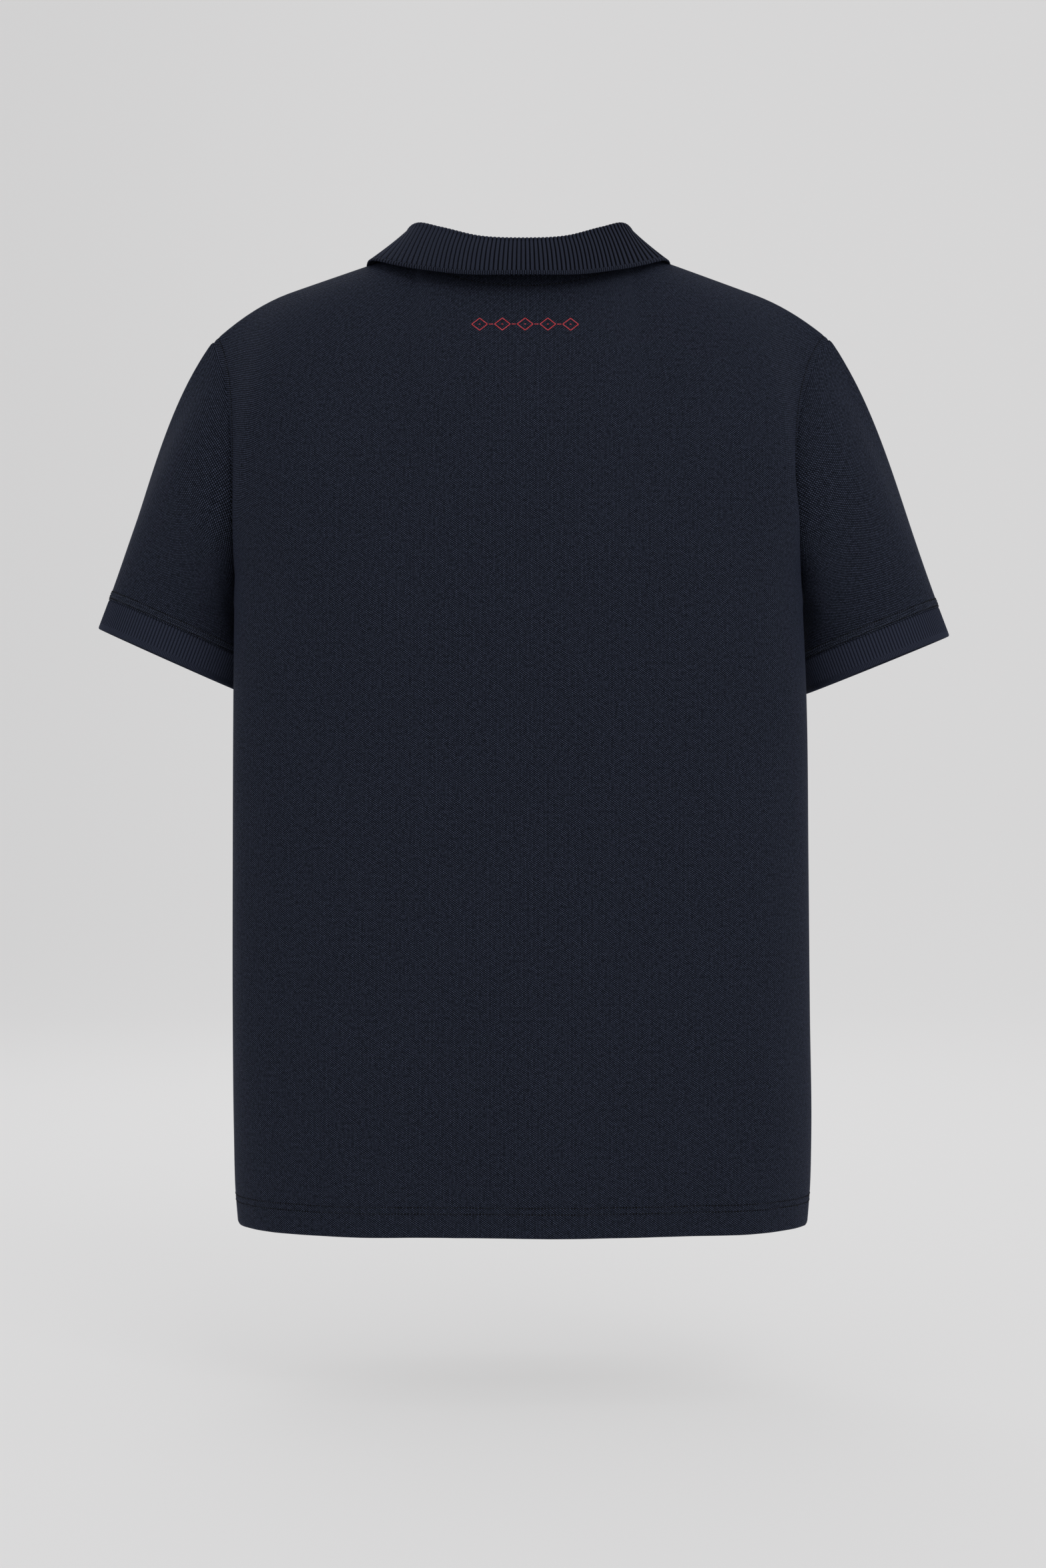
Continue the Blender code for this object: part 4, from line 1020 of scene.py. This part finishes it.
def thread(name, colour, dark, shine=0.0):
    """Sewing thread: fine twist in two near shades."""
    fibre = Recipe(name, colour, 0.65 - shine, sheen=0.1)
    twist = fibre.noise(fibre.places("Object")[0], TWIST)
    return fibre.finish(fibre.mix(fibre.ramp(twist, 0.35, 0.65), dark, colour), twist, 0.00006, 0.5)


def moulded(name, colour, pale):
    """A moulded button: faint clouds in the resin, smooth and a little glossy."""
    resin = Recipe(name, colour, 0.32, gloss=0.5)
    solid = resin.places("Object")[0]
    cloud = resin.noise(solid, 420.0, 3.0)
    grain = resin.noise(solid, 5200.0, 1.0)
    resin.shade("Roughness", resin.times(grain, 0.14, 0.26))
    return resin.finish(resin.mix(resin.ramp(cloud, 0.40, 0.75), colour, pale), grain, 0.00002, 0.25)


def paper(name, colour, glow):
    """Pale studio paper, very slightly uneven, that glows as painted light, a little less at one side as painted shade.
    """
    sheet = Recipe(name, colour, 0.9)
    solid, x, _ = sheet.places("Object")
    sheet.shade("Base Color", sheet.mix(sheet.noise(solid, 0.8), [c * 0.985 for c in colour], colour))
    # Painted light: the paper's glow, dimmed towards one side as painted shade.
    sheet.shade("Emission Color", sheet.mix(sheet.ramp(x, 0.1, 1.4), glow, [c * 0.93 for c in glow]))
    sheet.shade("Emission Strength", 1.0)
    return sheet.material


PIQUE = pique("pique")
# The first colour of each rib knit is painted shade for its grooves; the second is the yarn's own colour.
COLLAR_KNIT = rib_knit("rib_collar", COLLAR_RIB, 0.0030, (0.0008, 0.0010, 0.0021), (0.0300, 0.0356, 0.0572))
CUFF_KNIT = rib_knit("rib_cuff", CUFF_RIB, 0.0042, (0.0110, 0.0130, 0.0220), (0.0350, 0.0415, 0.0670))
# The navy thread is much darker than the cloth: partly its own navy, partly painted shade of the dents and needle holes
# along its rows.
NAVY_THREAD_AND_SHADE = thread("thread_navy_and_shade", (0.0028, 0.0035, 0.0064), (0.0008, 0.0010, 0.0020))
COVER_THREAD = thread("thread_cover", (0.0460, 0.0560, 0.0840), (0.0160, 0.0200, 0.0310))
RED_THREAD = thread("thread_red", (0.6900, 0.0850, 0.1050), (0.4600, 0.0420, 0.0560), shine=0.2)
BUTTON_RESIN = moulded("button_resin", (0.0120, 0.0155, 0.0290), (0.0300, 0.0360, 0.0560))


def panel_tree(panels):
    """Both panels' middle surfaces, to measure heights over."""
    points, faces = [], []
    for grid in panels.values():
        rows, columns = grid.points.shape[:2]
        number = len(points) + np.arange(rows * columns).reshape(rows, columns)
        corners = (number[:-1, :-1], number[:-1, 1:], number[1:, 1:], number[1:, :-1])
        faces += np.stack(corners, axis=2).reshape(-1, 4).tolist()
        points += grid.points.reshape(-1, 3).tolist()
    return BVHTree.FromPolygons(points, faces)


SLEEVES = {"sleeve_left": 1, "sleeve_right": -1}


def ring_middle(ring):
    return ring[:-1].mean(axis=0)


def make_cloth():
    """All the cloth pieces, the grids that their stitches follow, and the upper placket strip's own."""
    panels = {face: new_grid(panel_grid(face), False, lambda row: (0, 0, row[0, 2])) for face in ("back", "front")}
    sleeves = {name: new_grid(sleeve_grid(side), True, ring_middle) for name, side in SLEEVES.items()}
    share_mitres([*panels.values(), *sleeves.values()])
    edge = neck_edge(panels)
    slit_rows = np.array(YOKE_STEPS) <= SLIT_FOOT + HAIR
    slit_columns = np.abs(panel_shares("front")) <= SLIT_SHARE + HAIR
    openings = {"back": None, "front": lambda i, j: i < len(slit_rows) and slit_rows[i] and slit_columns[j]}

    pieces = {}
    for face, grid in panels.items():
        u, v = lay_flat(grid.points, UP, grid.points.shape[1] // 2, len(YOKE_STEPS) - 1)
        relief = panel_relief(face, grid.points, u, v)
        inner_relief = np.minimum(relief, 0.0) * 0.5 + np.maximum(relief, 0.0)
        walls = cloth_walls(grid, relief, inner_relief, (0,))
        grain = u if face == "back" else -u
        pieces[face] = new_piece(f"{face}_cloth", shell(*walls, grain, v, opening=openings[face]), PIQUE)
    for name, grid in sleeves.items():
        side, ring = SLEEVES[name], grid.points[-1]
        grid.mitres[-1] = unit(ring - ring_middle(ring))
        u, v = lay_flat(grid.points, sleeve_axis(side), len(YOKE_STEPS) - 1, -1)
        relief = sleeve_relief(name, u, v)
        walls = cloth_walls(grid, relief, relief * 0.5, (0, -1))
        pieces[name] = new_piece(f"{name}_cloth", shell(*walls, -side * u, v, closed=True), PIQUE)
    for name, side in (("cuff_left", 1), ("cuff_right", -1)):
        pieces[name] = make_cuff(f"{name}_knit", side)
    pieces["collar"] = make_collar(edge, panel_tree(panels))
    front = panels["front"].outer
    pieces["placket_over"], strip = make_strip("placket_over_cloth", front, PLACKET_LIFT)
    pieces["placket_under"], _ = make_strip("placket_under_cloth", front, -2 * CLOTH - PLACKET_LIFT)
    return panels, sleeves, pieces, strip


panels, sleeves, pieces, strip = make_cloth()


def nearest(values, wanted):
    return int(np.argmin(np.abs(np.asarray(values) - wanted)))


def sew_hems():
    rows = [len(YOKE_STEPS) + len(BODY_STEPS) + HEM_STEPS.index(z) for z in HEM_ROWS]
    paths = [(grid.outer[row, 1:-1], grid.normals[row, 1:-1]) for grid in panels.values() for row in rows]
    return sew_rows("hem_stitches", paths)


def sew_armholes():
    column = len(EDGE_MM) - nearest(EDGE_MM, 1000 * ARMHOLE_ROW)
    yoke = slice(1, len(YOKE_STEPS))
    places = [(grid, j) for grid in panels.values() for j in (column - 1, -column)]
    paths = [(grid.outer[yoke, j], grid.normals[yoke, j]) for grid, j in places]
    return sew_rows("armhole_stitches", paths)


def sew_neck():
    paths = []
    row = YOKE_STEPS.index(NECK_STITCH)
    for face, grid in panels.items():
        middle, reach = grid.outer.shape[1] // 2, len(NECK_TURNS[face]) - 1
        spans = [slice(middle - reach, middle + reach + 1)]
        if face == "front":
            spans = [slice(middle + a, middle + b + 1) for a, b in ((SLIT_CELLS, reach), (-reach, -SLIT_CELLS))]
        paths += [(grid.outer[row, span], grid.normals[row, span]) for span in spans]
    return sew_rows("neck_stitches", paths)


# The cover stitch: pitch, height of the middle of its zigzag, length of the stitches of its rows; then where each
# thread of the zigzag starts and ends, how far it stands off, its width and its height
COVER_PITCH = 0.0019
COVER_MIDDLE = 0.0040
COVER_STITCH = 0.0012
COVER_ENDS = (0.105, 0.1)
COVER_LIFT = 0.0002
COVER_THICK = (0.0006, 0.0004)


def sew_cuffs(name):
    """Two rows of stitches over the cuff seam and the zigzag of thread that covers the cloth between them."""
    grid = sleeves[name]
    first = len(grid.outer) - len(CUFF_MM)
    rows = [first + nearest(CUFF_MM, 1000 * height) for height in (*CUFF_ROWS, COVER_MIDDLE)]
    lines = [(grid.outer[row], grid.mitres[row]) for row in rows]
    stitches = sew_rows(f"{name}_stitches", lines[:2], COVER_PITCH, COVER_STITCH)
    bm = bmesh.new()
    low, high, middle = (even_places(*line, COVER_PITCH) for line in lines)
    for k in range(min(len(low[0]), len(high[0]), len(middle[0])) - 1):
        for row in (low, high):
            start = row[0][k] + (middle[0][k] - row[0][k]) * COVER_ENDS[0]
            end = middle[0][k + 1] + (row[0][k + 1] - middle[0][k + 1]) * COVER_ENDS[1]
            point, length = (start + end) / 2 + middle[2][k] * COVER_LIFT, np.linalg.norm(end - start)
            add_stitch(bm, point, unit(end - start), middle[2][k], length, *COVER_THICK)
    return stitches, new_thread(f"{name}_cover_thread", bm, COVER_THREAD)


# Heights above the placket's foot of the two rows that close its box of stitches
BOX_ROWS = (0.0025, 0.0200)
# A buttonhole: stitches up and down from its middle, their step, their distance from the slit, their length, width
# and height; then the places and sizes of the bars at its ends
HOLE_REACH = 13
HOLE_STEP = 0.0005
HOLE_SIDE = 0.0010
HOLE_STITCH = (0.0018, 0.00052, 0.0004)
HOLE_LIFT = 0.0002
BAR_PLACES = (0.0068, 0.0072, 0.0076)
BAR_STITCH = (0.0036, 0.0005, 0.0005)
BAR_LIFT = 0.0003


def sew_placket():
    """The edge stitching of the upper strip, its box at the foot, and the three buttonholes."""
    points, normals, across = strip
    edges = [nearest(across, place) for place in (STRIP_ROW - PLACKET_HALF_WIDTH, PLACKET_HALF_WIDTH - STRIP_ROW)]
    paths = [(points[1:-1, j], normals[1:-1, j]) for j in edges]
    run = run_along(points, 0)[:, len(across) // 2]
    inside = np.flatnonzero(np.abs(across) < PLACKET_HALF_WIDTH - STRIP_ROW / 2)
    for gap in BOX_ROWS:
        line, outs = (
            np.array([at_places(run, grid[:, j], [run[-1] - gap])[0] for j in inside]) for grid in (points, normals)
        )
        paths.append((line, unit(outs)))
    seams = sew_rows("placket_stitches", paths)
    bm = bmesh.new()
    for place in BUTTON_PLACES:
        seat, out = button_seat(place)
        seat = seat - out * BUTTON_SEAT
        down = unit(np.cross(out, ACROSS))
        down *= -np.sign(down[2])
        for k in range(-HOLE_REACH, HOLE_REACH + 1):
            for way in (-1, 1):
                point = seat + down * k * HOLE_STEP + ACROSS * way * HOLE_SIDE + out * HOLE_LIFT
                add_stitch(bm, point, ACROSS, out, *HOLE_STITCH)
        for end in (-1, 1):
            for bar in BAR_PLACES:
                add_stitch(bm, seat + down * end * bar + out * BAR_LIFT, ACROSS, out, *BAR_STITCH)
    return seams, new_thread("buttonhole_stitches", bm)


def button_seat(place):
    """Where a button's back sits on the upper strip, and the way it faces."""
    low = math.floor(place * SOLID_ROWS) / SOLID_ROWS
    middle = np.array([0.0])
    first, last = (yoke_row("front", middle, t)[0] for t in (low, low + 1 / SOLID_ROWS))
    seat = first + (last - first) * (place - low) * SOLID_ROWS
    out = unit(np.cross(last - first, ACROSS))
    out *= -np.sign(out[1])
    return seat + out * (PLACKET_LIFT + CLOTH + BUTTON_SEAT), out


# A button's thread: the lifts of its two layers, how far each shifts, the size of a bar beyond its holes and of a leg
# beyond the button's face
BAR_LIFTS = (0.0, 0.00022)
BAR_SHIFT = 0.6
BAR_OFF = 0.0001
BAR_SIZE = (0.0009, 0.00055, 0.00045)
LEG_SIZE = (0.0012, 0.0006, 0.0006)


def sew_buttons():
    """Two bars of thread through the four holes of each button, and its shank."""
    bm = bmesh.new()
    for place in BUTTON_PLACES:
        seat, out = button_seat(place)
        down = unit(np.cross(out, ACROSS))
        reach = BUTTON_HOLE_OFFSET * math.sin(math.radians(45))
        for column in (-reach, reach):
            for lift in BAR_LIFTS:
                point = seat + ACROSS * (column + lift * BAR_SHIFT) + out * (BUTTON_FACE + BAR_OFF + lift)
                add_stitch(bm, point, down, out, 2 * reach + BAR_SIZE[0], *BAR_SIZE[1:])
            for end in (-1, 1):
                point = seat + ACROSS * column + down * end * reach + out * BUTTON_FACE / 2
                add_stitch(bm, point, out, ACROSS, BUTTON_FACE + LEG_SIZE[0], *LEG_SIZE[1:])
    return new_thread("button_thread", bm)


# A small border of linked diamonds below the back of the neck: its middle, size and the way its lines run
BORDER_MIDDLE = (-0.0015, -0.0655)
DIAMOND_COUNT = 5
DIAMOND_PITCH = 0.0162
DIAMOND_HALF = (0.0056, 0.0046)
LINK_GAP = 0.0010
DOT_HALF = 0.0006
SATIN_PITCH = 0.00034
SATIN_STITCH = (0.00090, 0.00044, 0.00045)
SATIN_LIFT = 0.00010


def sew_border():
    """Satin stitches across the lines of a row of linked diamonds."""
    lines = []
    for k in range(DIAMOND_COUNT):
        x = BORDER_MIDDLE[0] + (k - (DIAMOND_COUNT - 1) / 2) * DIAMOND_PITCH
        wide, tall = DIAMOND_HALF
        corners = ((x - wide, 0.0), (x, tall), (x + wide, 0.0), (x, -tall), (x - wide, 0.0))
        lines += list(zip(corners, corners[1:]))
        if k < DIAMOND_COUNT - 1:
            lines.append(((x + wide + LINK_GAP, 0.0), (x + DIAMOND_PITCH - wide - LINK_GAP, 0.0)))
        lines.append(((x - DOT_HALF, 0.0), (x + DOT_HALF, 0.0)))
    bm = bmesh.new()
    cloth = BVHTree.FromObject(pieces["back"], bpy.context.evaluated_depsgraph_get())
    for (x0, z0), (x1, z1) in lines:
        length = math.hypot(x1 - x0, z1 - z0)
        count = max(2, round(length / SATIN_PITCH))
        for k in range(count):
            t = (k + 0.5) / count
            from_far = Vector((x0 + (x1 - x0) * t, 0.3, BORDER_MIDDLE[1] + z0 + (z1 - z0) * t))
            hit, normal, _, _ = cloth.ray_cast(from_far, Vector((0, -1, 0)))
            out = np.array(normal)
            way = np.array((x1 - x0, 0.0, z1 - z0)) / length
            satin = unit(np.cross(out, way))
            add_stitch(bm, np.array(hit) + out * SATIN_LIFT, satin, out, *SATIN_STITCH)
    return new_thread("neck_border", bm, RED_THREAD)


threads = [sew_hems(), sew_armholes(), sew_neck(), *sew_placket(), sew_buttons(), sew_border()]
for name in sleeves:
    threads += sew_cuffs(name)

for node, piece in pieces.items():
    solid = {"back": "back_panel", "front": "front_panel"}.get(node, node)
    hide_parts(solid)
for number in (1, 2, 3):
    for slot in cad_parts[f"button_{number}"].material_slots:
        slot.material = BUTTON_RESIN

# Studio: a pale sweep all round, a soft light over each face of the shirt, and a level camera behind it.
FLOOR_Z = -0.830
SWEEP_FLOOR = 3.6
SWEEP_RADIUS = 5.2
SWEEP_HEIGHT = 3.6
PAPER = (0.26, 0.26, 0.26)
# The paper's glow is painted light.
PAPER_GLOW = (0.502, 0.498, 0.498)
# Each light's name, place, size and power; all look at one point
LIGHTS = (("key", (-0.9, 2.4, 1.6), (1.6, 1.4), 20.0), ("front", (0.6, -2.4, 1.6), (2.0, 1.6), 16.0))
LIGHT_AIM = (0.0, 0.0, -0.35)
SKY = (0.97, 0.98, 1.0, 1.0)
SKY_STRENGTH = 0.62
CAMERA_PLACE = (0.0, 2.4, -0.393)
CAMERA_LENS = 74.9


def make_sweep():
    bm = bmesh.new()
    profile = [(0.0, 0.0), (1.4, 0.0), (SWEEP_FLOOR, 0.0)]
    bend = SWEEP_RADIUS - SWEEP_FLOOR
    profile += [
        (SWEEP_FLOOR + math.sin(a) * bend, bend - math.cos(a) * bend) for a in np.linspace(0.1, math.pi / 2, 12)
    ]
    profile += [(SWEEP_RADIUS, SWEEP_HEIGHT * 0.7), (SWEEP_RADIUS, SWEEP_HEIGHT)]
    verts = [bm.verts.new((radius, 0.0, FLOOR_Z + height)) for radius, height in profile]
    edges = [bm.edges.new(pair) for pair in zip(verts, verts[1:])]
    bmesh.ops.spin(
        bm, geom=verts + edges, axis=(0, 0, 1), cent=(0, 0, 0), steps=96, angle=2 * math.pi, use_merge=True
    )
    bmesh.ops.remove_doubles(bm, verts=bm.verts, dist=HAIR)
    bmesh.ops.recalc_face_normals(bm, faces=bm.faces)
    lowest = max(bm.faces, key=lambda face: -face.calc_center_median().z)
    if lowest.normal.z < 0:
        bmesh.ops.reverse_faces(bm, faces=bm.faces)
    link("sweep", new_mesh("sweep", bm, paper("studio_paper", PAPER, PAPER_GLOW)))


def set_studio():
    make_sweep()
    for name, place, size, power in LIGHTS:
        lamp = bpy.data.lights.new(name, "AREA")
        lamp.shape = "RECTANGLE"
        lamp.size, lamp.size_y = size
        lamp.energy = power
        light = link(name, lamp)
        light.location = place
        light.rotation_euler = (Vector(LIGHT_AIM) - Vector(place)).to_track_quat("-Z", "Y").to_euler()
    world = bpy.data.worlds.new("studio")
    world.use_nodes = True
    sky = world.node_tree.nodes["Background"]
    sky.inputs["Color"].default_value = SKY
    sky.inputs["Strength"].default_value = SKY_STRENGTH
    bpy.context.scene.world = world
    view = bpy.data.cameras.new("camera")
    view.lens = CAMERA_LENS
    view.sensor_fit = "VERTICAL"
    view.sensor_height = 36.0
    camera = link("camera", view)
    camera.location = CAMERA_PLACE
    camera.rotation_euler = (math.radians(90), 0.0, math.radians(180))
    bpy.context.scene.camera = camera
    bpy.context.scene.view_settings.view_transform = "Standard"


set_studio()
